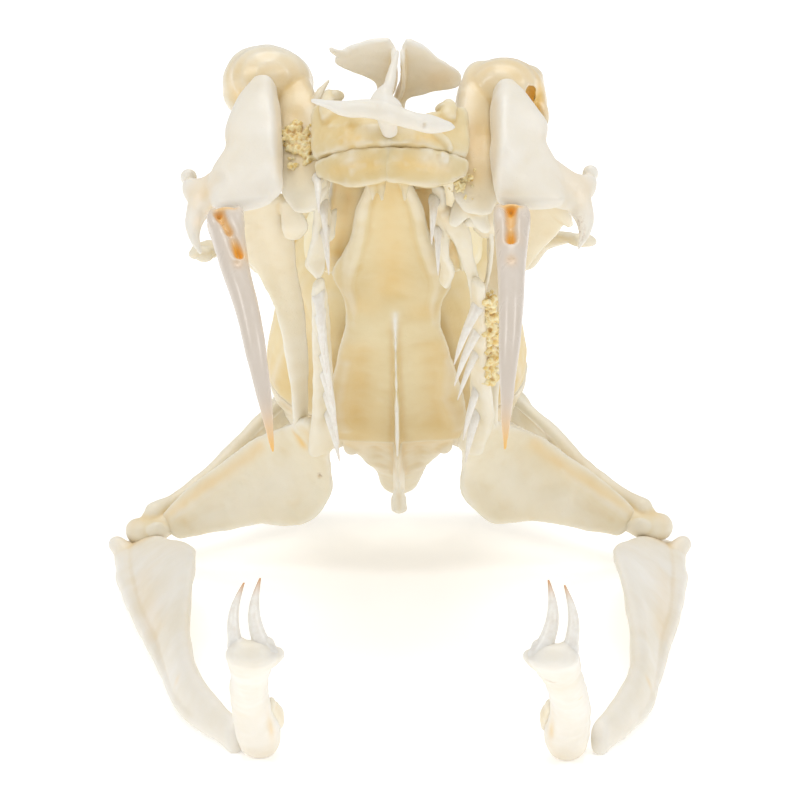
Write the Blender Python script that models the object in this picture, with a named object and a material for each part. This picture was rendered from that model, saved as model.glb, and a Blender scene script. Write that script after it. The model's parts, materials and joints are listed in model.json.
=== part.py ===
"""Rattlesnake skull, life size, mouth wide open and fangs erect, standing on its lower jaws.

Lengths are in millimetres until a bone is finished; FINISH_SCALE then turns them into metres.
Cranium coordinates are (l, f, u): out from the midline, forward from the occipital condyle, and
up away from the palate. Jaw coordinates are (l, y, z), measured from the jaw joint on the floor.
Left and right are those of a viewer who looks into the open mouth, with +X on the right.
"""

import math

import bmesh
import bpy
from mathutils import Matrix, Vector
from mathutils.bvhtree import BVHTree

# Driving sizes of the specimen, in millimetres and degrees.
FINISH_SCALE = 0.001
NOSE_UP_DEG = 48.5
NOSE_YAW_DEG = -1.0
CONDYLE_PLACE = (0.0, 17.64, 1.88)
JAW_JOINT = (14.9, 11.5)
JAW_YAW_DEG = {"left": 0.0, "right": 3.2}
DENTARY_YAW_DEG = {"left": 0.0, "right": -7.6}
DENTARY_SHIFT = {"left": 0.0, "right": -0.4}
JAW_BEND = (7.2, -19.0)
SUTURE_GAP = 0.34
NEIGHBOUR_REACH = 0.6
SIGN = {"left": -1.0, "right": 1.0}

# Seams of the braincase: where its back bones begin, and how wide and high its roof plate is.
BACK_SEAM = 8.0
ROOF_SEAM = 5.7
ROOF_SIDE = 2.5
FAR = 60.0
FLOOR_CUT_DEPTH = 20.0

# Fineness of the modelling and of the finished facets.
SPAN_STEPS = 4
VOXEL = 0.2
THIN_VOXEL = 0.15
CAP_RINGS = ((0.42, 0.88), (0.74, 0.58))
CAP_POLE = 0.9
WORKING_SHARE = 4
CUTTER_FACES = 900
SHARP_EDGE_DEG = 50.0

# Bone colours: base colour, roughness.
BONE = ((0.72, 0.66, 0.53), 0.55)
BONE_WHITE = ((0.78, 0.75, 0.66), 0.5)
BONE_AMBER = ((0.66, 0.52, 0.30), 0.6)
BONE_PALATE = ((0.60, 0.49, 0.32), 0.6)
FANG_ENAMEL = ((0.60, 0.55, 0.45), 0.28)


def remove_object(obj):
    mesh = obj.data
    bpy.data.objects.remove(obj)
    if mesh is not None and mesh.users == 0:
        bpy.data.meshes.remove(mesh)


def make_object(name, verts, faces):
    mesh = bpy.data.meshes.new(name)
    mesh.from_pydata([tuple(v) for v in verts], [], faces)
    bm = bmesh.new()
    bm.from_mesh(mesh)
    bmesh.ops.recalc_face_normals(bm, faces=bm.faces)
    bm.to_mesh(mesh)
    bm.free()
    obj = bpy.data.objects.new(name, mesh)
    bpy.context.scene.collection.objects.link(obj)
    return obj


def bake_modifiers(obj):
    """Replace the mesh by what its modifiers make of it."""
    graph = bpy.context.evaluated_depsgraph_get()
    baked = bpy.data.meshes.new_from_object(obj.evaluated_get(graph))
    old = obj.data
    obj.modifiers.clear()
    obj.data = baked
    bpy.data.meshes.remove(old)
    return obj


def smooth_value(values, span, t):
    """Catmull-Rom value between values[span] and values[span + 1]."""
    p1 = values[span]
    p2 = values[span + 1]
    p0 = values[span - 1] if span > 0 else p1 * 2 - p2
    p3 = values[span + 2] if span + 2 < len(values) else p2 * 2 - p1
    return (p1 * 2 + (p2 - p0) * t + (p0 * 2 - p1 * 5 + p2 * 4 - p3) * t * t
            + (p1 * 3 - p0 - p2 * 3 + p3) * t * t * t) * 0.5


def smooth_run(values, steps):
    run = [smooth_value(values, i, k / steps) for i in range(len(values) - 1) for k in range(steps)]
    return run + [values[-1]]


def ring(centre, wide, high, sides, power):
    """Points of a closed section; power 2 is an ellipse, more is squarer."""
    points = []
    for k in range(sides):
        turn = 2 * math.pi * k / sides
        c = math.cos(turn)
        s = math.sin(turn)
        x = math.copysign(abs(c) ** (2 / power), c)
        y = math.copysign(abs(s) ** (2 / power), s)
        points.append(centre + wide * x + high * y)
    return points


def skin(name, centres, wides, highs, sides, power):
    """A closed body through sections, with a rounded cap past each end."""
    rings = [ring(c, w, h, sides, power) for c, w, h in zip(centres, wides, highs)]
    start = [centres[0], (centres[0] - centres[1]).normalized(), wides[0], highs[0]]
    end = [centres[-1], (centres[-1] - centres[-2]).normalized(), wides[-1], highs[-1]]
    poles = []
    for first, (centre, out, wide, high) in ((True, start), (False, end)):
        reach = min(wide.length, high.length)
        caps = [ring(centre + out * reach * step, wide * size, high * size, sides, power)
                for step, size in CAP_RINGS]
        rings = caps[::-1] + rings if first else rings + caps
        poles.append(centre + out * reach * CAP_POLE)
    verts = [p for points in rings for p in points] + poles
    faces = []
    for i in range(len(rings) - 1):
        for k in range(sides):
            n = (k + 1) % sides
            faces.append((i * sides + k, i * sides + n, (i + 1) * sides + n, (i + 1) * sides + k))
    last = (len(rings) - 1) * sides
    for k in range(sides):
        n = (k + 1) % sides
        faces.append((len(verts) - 2, n, k))
        faces.append((len(verts) - 1, last + k, last + n))
    return make_object(name, verts, faces)


class Side:
    """Turns a bone's own numbers into points on one side of the skull or of the jaws."""

    def __init__(self, side=None, shift=(0.0, 0.0, 0.0), forward=-1.0):
        self.sign = SIGN[side] if side else 1.0
        self.shift = shift
        self.forward = forward

    def point(self, l, f, u):
        x = self.sign * (l + self.shift[0])
        return Vector((x, self.forward * (f + self.shift[1]), u + self.shift[2]))

    def direction(self, l, f, u):
        return Vector((self.sign * l, self.forward * f, u))

    def rod(self, stations, up=(0, 0, 1), sides=10, power=2.0, steps=SPAN_STEPS):
        """Stations (l, f, u, half width, half height); up is roughly the height's direction."""
        centres = smooth_run([self.point(*s[:3]) for s in stations], steps)
        sizes = smooth_run([Vector((s[3], s[4], 0)) for s in stations], steps)
        height = self.direction(*up)
        wides = []
        highs = []
        for i, centre in enumerate(centres):
            before = centres[max(i - 1, 0)]
            after = centres[min(i + 1, len(centres) - 1)]
            along = (after - before).normalized()
            wide = along.cross(height).normalized()
            wides.append(wide * max(sizes[i].x, 0.05))
            highs.append(wide.cross(along).normalized() * max(sizes[i].y, 0.05))
        return skin("rod", centres, wides, highs, sides, power)

    def blade(self, stations, sides=12, power=2.4, steps=SPAN_STEPS):
        """Stations (one edge, other edge, thickness): a plate between two edges."""
        first = smooth_run([self.point(*s[0]) for s in stations], steps)
        second = smooth_run([self.point(*s[1]) for s in stations], steps)
        thick = smooth_run([Vector((s[2], 0, 0)) for s in stations], steps)
        centres = [(a + b) / 2 for a, b in zip(first, second)]
        wides = []
        highs = []
        for i, centre in enumerate(centres):
            before = centres[max(i - 1, 0)]
            after = centres[min(i + 1, len(centres) - 1)]
            along = (after - before).normalized()
            wide = (first[i] - second[i]) / 2
            wides.append(wide)
            highs.append(along.cross(wide).normalized() * max(thick[i].x, 0.1) / 2)
        return skin("blade", centres, wides, highs, sides, power)

    def knob(self, centre, size, sides=10):
        """An ellipsoid of half sizes (l, f, u)."""
        l, f, u = centre
        stations = [(l, f - size[1] * 0.6, u, size[0] * 0.8, size[2] * 0.8),
                    (l, f, u, size[0], size[2]),
                    (l, f + size[1] * 0.6, u, size[0] * 0.8, size[2] * 0.8)]
        return self.rod(stations, sides=sides, steps=2)

    def tooth(self, root, tip, radius, bow=0.18, sides=6, rings=3):
        """A recurved cone that bows towards the snout; its root is sunk by the caller."""
        a = self.point(*root)
        b = self.point(*tip)
        along = b - a
        front = self.direction(0, 1, 0)
        bulge = (front - along * (front.dot(along) / along.length_squared)) * along.length * bow
        points = []
        for i in range(rings):
            t = i / rings
            centre = a + along * t + bulge * math.sin(math.pi * t)
            wide = along.cross(front).normalized() * radius * (1 - t) ** 0.75
            high = wide.cross(along).normalized() * radius * (1 - t) ** 0.75
            points += ring(centre, wide, high, sides, 2.0)
        verts = points + [a - along.normalized() * radius * 0.3, b]
        faces = []
        for i in range(rings - 1):
            for k in range(sides):
                n = (k + 1) % sides
                faces.append((i * sides + k, i * sides + n, (i + 1) * sides + n, (i + 1) * sides + k))
        last = (rings - 1) * sides
        for k in range(sides):
            n = (k + 1) % sides
            faces.append((len(verts) - 2, n, k))
            faces.append((len(verts) - 1, last + k, last + n))
        return make_object("tooth", verts, faces)


def combine(base, tools, operation, solver="EXACT"):
    """One Boolean of an object with a collection of closed meshes, applied."""
    group = bpy.data.collections.new("tools")
    bpy.context.scene.collection.children.link(group)
    for tool in tools:
        bpy.context.scene.collection.objects.unlink(tool)
        group.objects.link(tool)
        tool.hide_render = True
        tool.display_type = "WIRE"
    modifier = base.modifiers.new("combine", "BOOLEAN")
    modifier.operand_type = "COLLECTION"
    modifier.collection = group
    modifier.operation = operation
    modifier.solver = solver
    bake_modifiers(base)
    for tool in list(group.objects):
        remove_object(tool)
    bpy.data.collections.remove(group)
    return base


def keep_largest(obj):
    """Keep only the largest closed surface of the mesh."""
    bm = bmesh.new()
    bm.from_mesh(obj.data)
    left = set(bm.faces)
    shells = []
    while left:
        stack = [left.pop()]
        shell = set(stack)
        while stack:
            for edge in stack.pop().edges:
                for face in edge.link_faces:
                    if face in left:
                        left.remove(face)
                        shell.add(face)
                        stack.append(face)
        shells.append(shell)
    best = max(shells, key=lambda shell: sum(f.calc_area() for f in shell))
    bmesh.ops.delete(bm, geom=[f for f in bm.faces if f not in best], context="FACES")
    bmesh.ops.triangulate(bm, faces=bm.faces)
    bm.to_mesh(obj.data)
    bm.free()
    return obj


def remesh(obj, voxel, smoothing):
    modifier = obj.modifiers.new("remesh", "REMESH")
    modifier.mode = "VOXEL"
    modifier.voxel_size = voxel
    if smoothing:
        relax = obj.modifiers.new("relax", "SMOOTH")
        relax.factor = 0.5
        relax.iterations = smoothing
    return keep_largest(bake_modifiers(obj))


def reduce_faces(obj, target):
    count = sum(len(p.vertices) - 2 for p in obj.data.polygons)
    if count > target:
        modifier = obj.modifiers.new("reduce", "DECIMATE")
        modifier.ratio = target / count
        modifier.use_collapse_triangulate = True
        bake_modifiers(obj)
    return keep_largest(obj)


def swollen(other, frame, gap):
    """A copy of a finished bone, in the coordinates of a frame, grown by gap, as a cutter."""
    mesh = other.data.copy()
    mesh.transform(frame.inverted() @ other.matrix_world)
    cutter = bpy.data.objects.new("cutter", mesh)
    bpy.context.scene.collection.objects.link(cutter)
    swell = cutter.modifiers.new("swell", "DISPLACE")
    swell.mid_level = 0.0
    swell.strength = gap
    clean = cutter.modifiers.new("clean", "REMESH")
    clean.mode = "VOXEL"
    clean.voxel_size = VOXEL * 1.25
    return reduce_faces(bake_modifiers(cutter), CUTTER_FACES)


def block(low, high):
    """A cutting box in a bone's own coordinates, given as (l, f, u) corners."""
    corners = [(x, -y, z) for x in (low[0], high[0]) for y in (low[1], high[1])
               for z in (low[2], high[2])]
    faces = [(0, 1, 3, 2), (4, 6, 7, 5), (0, 4, 5, 1), (2, 3, 7, 6), (0, 2, 6, 4), (1, 5, 7, 3)]
    return make_object("block", corners, faces)


def material(name, finish):
    colour, roughness = finish
    made = bpy.data.materials.new(name)
    made.use_nodes = True
    shader = made.node_tree.nodes["Principled BSDF"]
    shader.inputs["Base Color"].default_value = (*colour, 1.0)
    shader.inputs["Roughness"].default_value = roughness
    shader.inputs["Metallic"].default_value = 0.0
    return made


def empty(name, place, parent=None, yaw_deg=0.0):
    made = bpy.data.objects.new(name, None)
    made.location = place
    made.rotation_euler = (0.0, 0.0, math.radians(yaw_deg))
    made.parent = parent
    bpy.context.scene.collection.objects.link(made)
    bpy.context.view_layer.update()
    return made


class Skeleton:
    """Finishes bones one after another, each cut clear of the ones before it."""

    def __init__(self):
        self.bones = []

    def near(self, obj, frame):
        """Finished bones whose boxes come within reach of this one, which is still unplaced."""
        found = []
        low, high = self.box(obj, frame)
        for other in self.bones:
            lo, hi = self.box(other)
            if all(lo[i] - NEIGHBOUR_REACH < high[i] and hi[i] + NEIGHBOUR_REACH > low[i]
                   for i in range(3)):
                found.append(other)
        return found

    @staticmethod
    def box(obj, frame=None):
        frame = frame or obj.matrix_world
        points = [frame @ v.co for v in obj.data.vertices]
        low = [min(p[i] for p in points) for i in range(3)]
        high = [max(p[i] for p in points) for i in range(3)]
        return low, high

    def bone(self, name, parent, pieces, faces, finish, teeth=(), cuts=(), floor=(), voxel=VOXEL,
             smoothing=3):
        """Fuse the pieces, round them off, cut them clear of their neighbours, add the teeth."""
        obj = pieces[0]
        frame = parent.matrix_world.copy()
        if len(pieces) > 1:
            combine(obj, pieces[1:], "UNION")
        remesh(obj, voxel, smoothing)
        reduce_faces(obj, faces * WORKING_SHARE)
        if cuts:
            combine(obj, list(cuts), "DIFFERENCE")
            keep_largest(obj)
        cutters = [swollen(other, frame, SUTURE_GAP) for other in self.near(obj, frame)]
        cutters = [c for c in cutters if self.meets(obj, c)]
        if cutters:
            combine(obj, cutters, "DIFFERENCE")
            keep_largest(obj)
        reduce_faces(obj, faces)
        if teeth:
            combine(obj, list(teeth), "UNION")
            keep_largest(obj)
        if floor:
            combine(obj, list(floor), "DIFFERENCE")
            keep_largest(obj)
        obj.data.materials.clear()
        obj.data.materials.append(material(name, finish))
        obj.name = name
        obj.data.name = name
        obj.parent = parent
        bpy.context.view_layer.update()
        self.bones.append(obj)
        return obj

    @staticmethod
    def meets(obj, cutter):
        """Whether the two surfaces cross; a cutter that doesn't is removed."""
        trees = []
        for each in (obj, cutter):
            bm = bmesh.new()
            bm.from_mesh(each.data)
            trees.append(BVHTree.FromBMesh(bm))
            bm.free()
        if trees[0].overlap(trees[1]):
            return True
        remove_object(cutter)
        return False

    def finish(self, root):
        """Scale to metres, put each origin in its bone, and stand the skull on the origin."""
        lows = []
        highs = []
        for obj in self.bones:
            low, high = self.box(obj)
            lows.append(low)
            highs.append(high)
        low = [min(b[i] for b in lows) for i in range(3)]
        high = [max(b[i] for b in highs) for i in range(3)]
        centre = Vector(((low[0] + high[0]) / 2, (low[1] + high[1]) / 2, low[2]))
        empties = [o for o in bpy.context.scene.objects if o.type == "EMPTY"]
        for each in empties:
            each.location = each.location * FINISH_SCALE
        root.location = -centre * FINISH_SCALE
        for obj in self.bones:
            middle = sum((v.co for v in obj.data.vertices), Vector()) / len(obj.data.vertices)
            obj.data.transform(Matrix.Scale(FINISH_SCALE, 4) @ Matrix.Translation(-middle))
            obj.location = middle * FINISH_SCALE
            obj.data.shade_smooth()
            obj.data.set_sharp_from_angle(angle=math.radians(SHARP_EDGE_DEG))
        bpy.context.view_layer.update()


def braincase():
    """The closed box of the brain, from the orbits to the foramen magnum, before it is parted."""
    mid = Side()
    sections = [
        (-1.2, 3.2, 4.4, 5.9),
        (0.3, 4.2, 3.5, 6.4),
        (2.5, 5.5, 2.3, 7.1),
        (5.0, 6.5, 1.0, 7.5),
        (7.5, 7.0, 0.1, 7.8),
        (10.0, 7.0, -0.1, 7.9),
        (13.0, 6.6, -0.1, 7.7),
        (16.5, 6.2, -0.1, 7.4),
        (19.0, 5.4, 0.0, 7.1),
        (20.3, 4.6, 0.3, 6.9),
    ]
    stations = [(0.0, f, (low + top) / 2, half, (top - low) / 2) for f, half, low, top in sections]
    return mid.rod(stations, sides=20, power=2.3)


def add_braincase(skull, cranium):
    """Basisphenoid, parietal and the bones round the foramen magnum, parted by plane sutures."""
    half = SUTURE_GAP / 2
    front_edge = BACK_SEAM + half
    back_edge = BACK_SEAM - half
    mid = Side()

    keel = mid.blade([((0, 22.5, -0.6), (0, 22.3, -1.2), 0.35),
                      ((0, 18.0, -0.6), (0, 18.0, -1.75), 0.45),
                      ((0, 12.0, -0.6), (0, 12.0, -2.0), 0.5),
                      ((0, 8.6, -0.6), (0, 8.6, -2.0), 0.55)])
    plate = mid.blade([((0.55, 33.0, -0.5), (-0.55, 33.0, -0.5), 0.55),
                       ((0.95, 31.6, -0.6), (-0.95, 31.6, -0.6), 0.6),
                       ((1.5, 30.3, -0.7), (-1.5, 30.3, -0.7), 0.65),
                       ((2.1, 27.2, -0.8), (-2.1, 27.2, -0.8), 0.65),
                       ((2.6, 25.4, -0.8), (-2.9, 25.4, -0.8), 0.65),
                       ((3.1, 23.9, -0.85), (-3.1, 24.2, -0.85), 0.65),
                       ((2.6, 21.5, -0.85), (-2.55, 21.5, -0.85), 0.7),
                       ((2.5, 19.6, -0.85), (-2.55, 19.6, -0.85), 0.75),
                       ((2.85, 17.4, -0.82), (-2.9, 17.4, -0.82), 0.8),
                       ((3.8, 11.0, -0.7), (-3.9, 11.0, -0.7), 0.9),
                       ((3.7, 8.4, -0.6), (-3.7, 8.4, -0.6), 0.9)], sides=16)
    cuts = [block((-FAR, -FAR, -FAR), (FAR, front_edge, FAR))]
    skull.bone("basisphenoid", cranium, [plate, keel], 620, BONE_PALATE, cuts=cuts,
               voxel=THIN_VOXEL, smoothing=2)

    roof = braincase()
    crest = mid.blade([((0, 19.0, 8.0), (0, 19.0, 6.5), 0.8),
                       ((0, 13.0, 8.5), (0, 13.0, 6.5), 0.7),
                       ((0, 8.5, 8.4), (0, 8.5, 6.5), 0.7)])
    wings = [Side(s).rod([(4.2, 19.3, 6.2, 1.1, 0.8), (5.6, 18.2, 5.7, 1.2, 0.85),
                          (6.5, 16.4, 5.2, 1.1, 0.9)], up=(0, 0, 1)) for s in SIGN]
    cuts = [block((-FAR, -FAR, -FAR), (FAR, front_edge, FAR))]
    skull.bone("parietal", cranium, [roof, crest] + wings, 760, BONE_AMBER, cuts=cuts)

    centre = mid.rod([(0, 8.3, 0.0, 3.3, 0.9), (0, 6.0, 0.4, 2.5, 0.9), (0, 4.0, 0.9, 1.7, 0.95),
                      (0, 2.0, 1.6, 1.35, 0.95), (0, 0.5, 2.0, 1.3, 0.9), (0, -1.0, 2.2, 1.1, 0.8)],
                     sides=14)
    spine = mid.blade([((0, 8.4, 0.2), (0, 8.4, -2.0), 0.7),
                       ((0, 5.0, 0.9), (0, 5.2, -2.1), 0.8),
                       ((0, 3.0, 1.2), (0, 3.2, -1.9), 0.75),
                       ((0, 2.2, 1.2), (0, 1.9, -1.5), 0.5)])
    cuts = [block((-FAR, back_edge, -FAR), (FAR, FAR, FAR))]
    skull.bone("basioccipital", cranium, [centre, spine], 340, BONE, cuts=cuts)

    hood = braincase()
    ridge = mid.blade([((0, 7.4, 8.3), (0, 7.4, 6.4), 0.7), ((0, 3.0, 7.6), (0, 3.0, 6.2), 0.7),
                       ((0, 1.0, 6.7), (0, 1.0, 5.8), 0.7)])
    cuts = [block((-FAR, back_edge, -FAR), (FAR, FAR, FAR)),
            block((ROOF_SIDE - half, -FAR, -FAR), (FAR, FAR, FAR)),
            block((-FAR, -FAR, -FAR), (-ROOF_SIDE + half, FAR, FAR)),
            block((-FAR, -FAR, -FAR), (FAR, FAR, ROOF_SEAM + half))]
    skull.bone("supraoccipital", cranium, [hood, ridge], 200, BONE, cuts=cuts)

    for side in SIGN:
        part = Side(side)
        shell = braincase()
        bulge = part.knob((4.4, 4.6, 3.9), (2.0, 3.2, 2.0))
        tubera = part.rod([(3.0, 7.6, 0.9, 0.9, 0.8), (3.4, 6.0, 0.8, 0.9, 0.7),
                           (4.2, 4.4, 1.9, 0.8, 0.7)])
        process = part.rod([(3.2, 1.0, 5.0, 1.0, 0.8), (4.3, -0.8, 5.2, 0.8, 0.6),
                            (4.9, -1.8, 5.3, 0.5, 0.4)])
        canal = mid.rod([(0, -4.0, 4.1, 1.3, 1.0), (0, 0.6, 4.1, 1.2, 0.95), (0, 1.6, 4.1, 0.6, 0.5)])
        cuts = [block((-FAR, back_edge, -FAR), (FAR, FAR, FAR)), middle_cut(side), canal,
                block((-ROOF_SIDE - half, -FAR, ROOF_SEAM - half), (ROOF_SIDE + half, FAR, FAR))]
        skull.bone("otic_" + side, cranium, [shell, bulge, tubera, process], 420, BONE, cuts=cuts)


def middle_cut(side):
    """Takes away all that lies past the midline, so that paired bones part there."""
    edge = SUTURE_GAP / 2
    if side == "right":
        return block((-FAR, -FAR, -FAR), (edge, FAR, FAR))
    return block((-edge, -FAR, -FAR), (FAR, FAR, FAR))


def floor_cut():
    """Takes away all that lies under the floor."""
    return block((-FAR, -FAR, -FLOOR_CUT_DEPTH), (FAR, FAR, 0.0))


def add_frontals(skull, cranium):
    for side in SIGN:
        part = Side(side)
        body = part.blade([((-0.4, 19.6, 3.8), (4.9, 20.6, 4.2), 5.4),
                           ((-0.4, 22.5, 3.9), (3.9, 22.8, 4.4), 4.7),
                           ((-0.4, 25.5, 3.6), (3.2, 25.5, 4.1), 4.0),
                           ((-0.4, 28.0, 3.3), (3.0, 28.0, 3.6), 3.3),
                           ((-0.4, 30.0, 3.0), (3.0, 30.0, 3.2), 2.7)], power=2.6)
        brow = part.rod([(2.9, 20.6, 6.4, 1.1, 0.5), (3.3, 23.0, 6.3, 1.0, 0.5),
                         (3.4, 26.0, 5.7, 0.9, 0.5), (3.6, 28.6, 5.2, 0.8, 0.5)])
        pillar = part.rod([(2.3, 29.2, 2.6, 0.6, 0.7), (2.5, 27.0, 1.8, 0.55, 0.7),
                           (2.7, 24.0, 1.1, 0.6, 0.6), (2.9, 21.5, 0.9, 0.6, 0.5)])
        skull.bone("frontal_" + side, cranium, [body, brow, pillar], 420, BONE_PALATE,
                   cuts=[middle_cut(side)])


def add_prefrontals(skull, cranium):
    """The domed bone before each eye, with the column that carries the maxilla."""
    raised = {"left": 0.2, "right": -0.55}
    inset = {"left": 0.0, "right": -0.2}
    round_size = {"left": 1.0, "right": 0.93}
    for side in SIGN:
        part = Side(side, shift=(inset[side], 0.0, raised[side]))
        r = round_size[side]
        dome = part.rod([(6.1, 28.5, 6.7, 1.0 * r, 0.8 * r), (6.25, 29.6, 7.1, 2.0 * r, 1.6 * r),
                         (6.3, 30.9, 7.0, 2.35 * r, 2.0 * r), (6.2, 32.0, 6.5, 2.0 * r, 1.6 * r),
                         (6.0, 32.7, 6.1, 1.2 * r, 0.9 * r)], sides=14)
        cheek = part.rod([(6.6, 31.0, 6.2, 1.9, 1.7), (7.1, 31.2, 4.9, 1.1, 1.1),
                          (7.0, 31.3, 4.0, 0.6, 0.6)], up=(0, 1, 0))
        column = part.rod([(5.1, 31.0, 6.4, 1.5, 1.3), (4.75, 31.2, 4.4, 1.25, 1.1),
                           (4.5, 31.3, 2.4, 1.15, 0.95), (4.4, 31.3, 0.7, 1.0, 0.8),
                           (4.4, 31.1, -0.9, 0.7, 0.5), (4.4, 30.9, -1.9, 0.35, 0.3)], up=(0, 1, 0))
        bridge = part.rod([(5.6, 29.6, 6.0, 1.2, 0.9), (4.2, 29.0, 5.4, 0.9, 0.7),
                           (3.4, 28.6, 5.0, 0.6, 0.5)], up=(0, 0, 1))
        skull.bone("prefrontal_" + side, cranium, [dome, cheek, column, bridge], 480, BONE)


def add_fangs(skull, cranium):
    """Each maxilla has two sockets; the left fang fills the outer one, the right the inner."""
    root = {"left": 8.25, "right": 6.25}
    middle = {"left": 7.0, "right": 6.15}
    tip = {"left": 5.85, "right": 5.8}
    for side in SIGN:
        part = Side(side)
        a = root[side]
        b = middle[side]
        c = tip[side]
        tooth = part.rod([(a, 33.0, -2.3, 0.8, 0.75), (a, 33.5, -3.4, 1.0, 0.9),
                          (a * 0.85 + b * 0.15, 33.9, -5.0, 0.86, 0.86),
                          (a * 0.5 + b * 0.5, 34.0, -7.2, 0.72, 0.76), (b, 33.7, -9.6, 0.63, 0.66),
                          (b * 0.6 + c * 0.4, 33.0, -12.0, 0.5, 0.52),
                          (b * 0.25 + c * 0.75, 31.9, -14.0, 0.33, 0.34), (c, 30.6, -15.5, 0.12, 0.12)],
                         up=(0, 1, 0), sides=12)
        skull.bone("fang_" + side, cranium, [tooth], 260, FANG_ENAMEL, voxel=THIN_VOXEL, smoothing=1)


def add_maxillae(skull, cranium):
    """The block that swings the fang, hollowed at the side for the heat pit."""
    lowered = {"left": 0.15, "right": -0.1}
    for side in SIGN:
        part = Side(side, shift=(0.0, 0.0, -lowered[side]))
        body = part.rod([(6.2, 32.5, 5.5, 0.65, 0.75), (6.7, 32.9, 4.0, 0.95, 0.95),
                         (7.15, 33.1, 2.4, 1.35, 1.15), (7.3, 33.0, 0.7, 1.5, 1.35),
                         (7.55, 32.7, -1.0, 2.0, 1.7), (7.6, 32.4, -2.3, 2.05, 1.7)],
                        up=(0, 1, 0), sides=14, power=2.3)
        wing = part.rod([(7.6, 32.2, -1.1, 1.5, 1.3), (9.0, 31.9, -0.7, 1.3, 1.0),
                         (9.8, 31.4, 0.0, 0.95, 0.8), (10.15, 31.0, 0.6, 0.5, 0.5)], up=(0, 1, 0))
        hook = part.rod([(9.4, 31.5, -1.2, 0.8, 0.7), (9.95, 31.3, -2.2, 0.55, 0.5),
                         (9.95, 31.2, -3.2, 0.32, 0.32), (9.65, 31.1, -3.9, 0.2, 0.2)], up=(0, 1, 0))
        lips = [part.rod([(l, 33.0, -2.0, 0.9, 0.9), (l, 33.2, -2.9, 0.85, 0.85)], up=(0, 1, 0))
                for l in (6.4, 8.3)]
        pit = part.rod([(9.9, 32.6, 2.6, 1.0, 1.0), (8.9, 32.4, 1.6, 1.0, 0.9),
                        (8.2, 32.2, 0.9, 0.7, 0.6)], up=(0, 1, 0))
        skull.bone("maxilla_" + side, cranium, [body, wing, hook] + lips, 520, BONE_WHITE, cuts=[pit])


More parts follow.
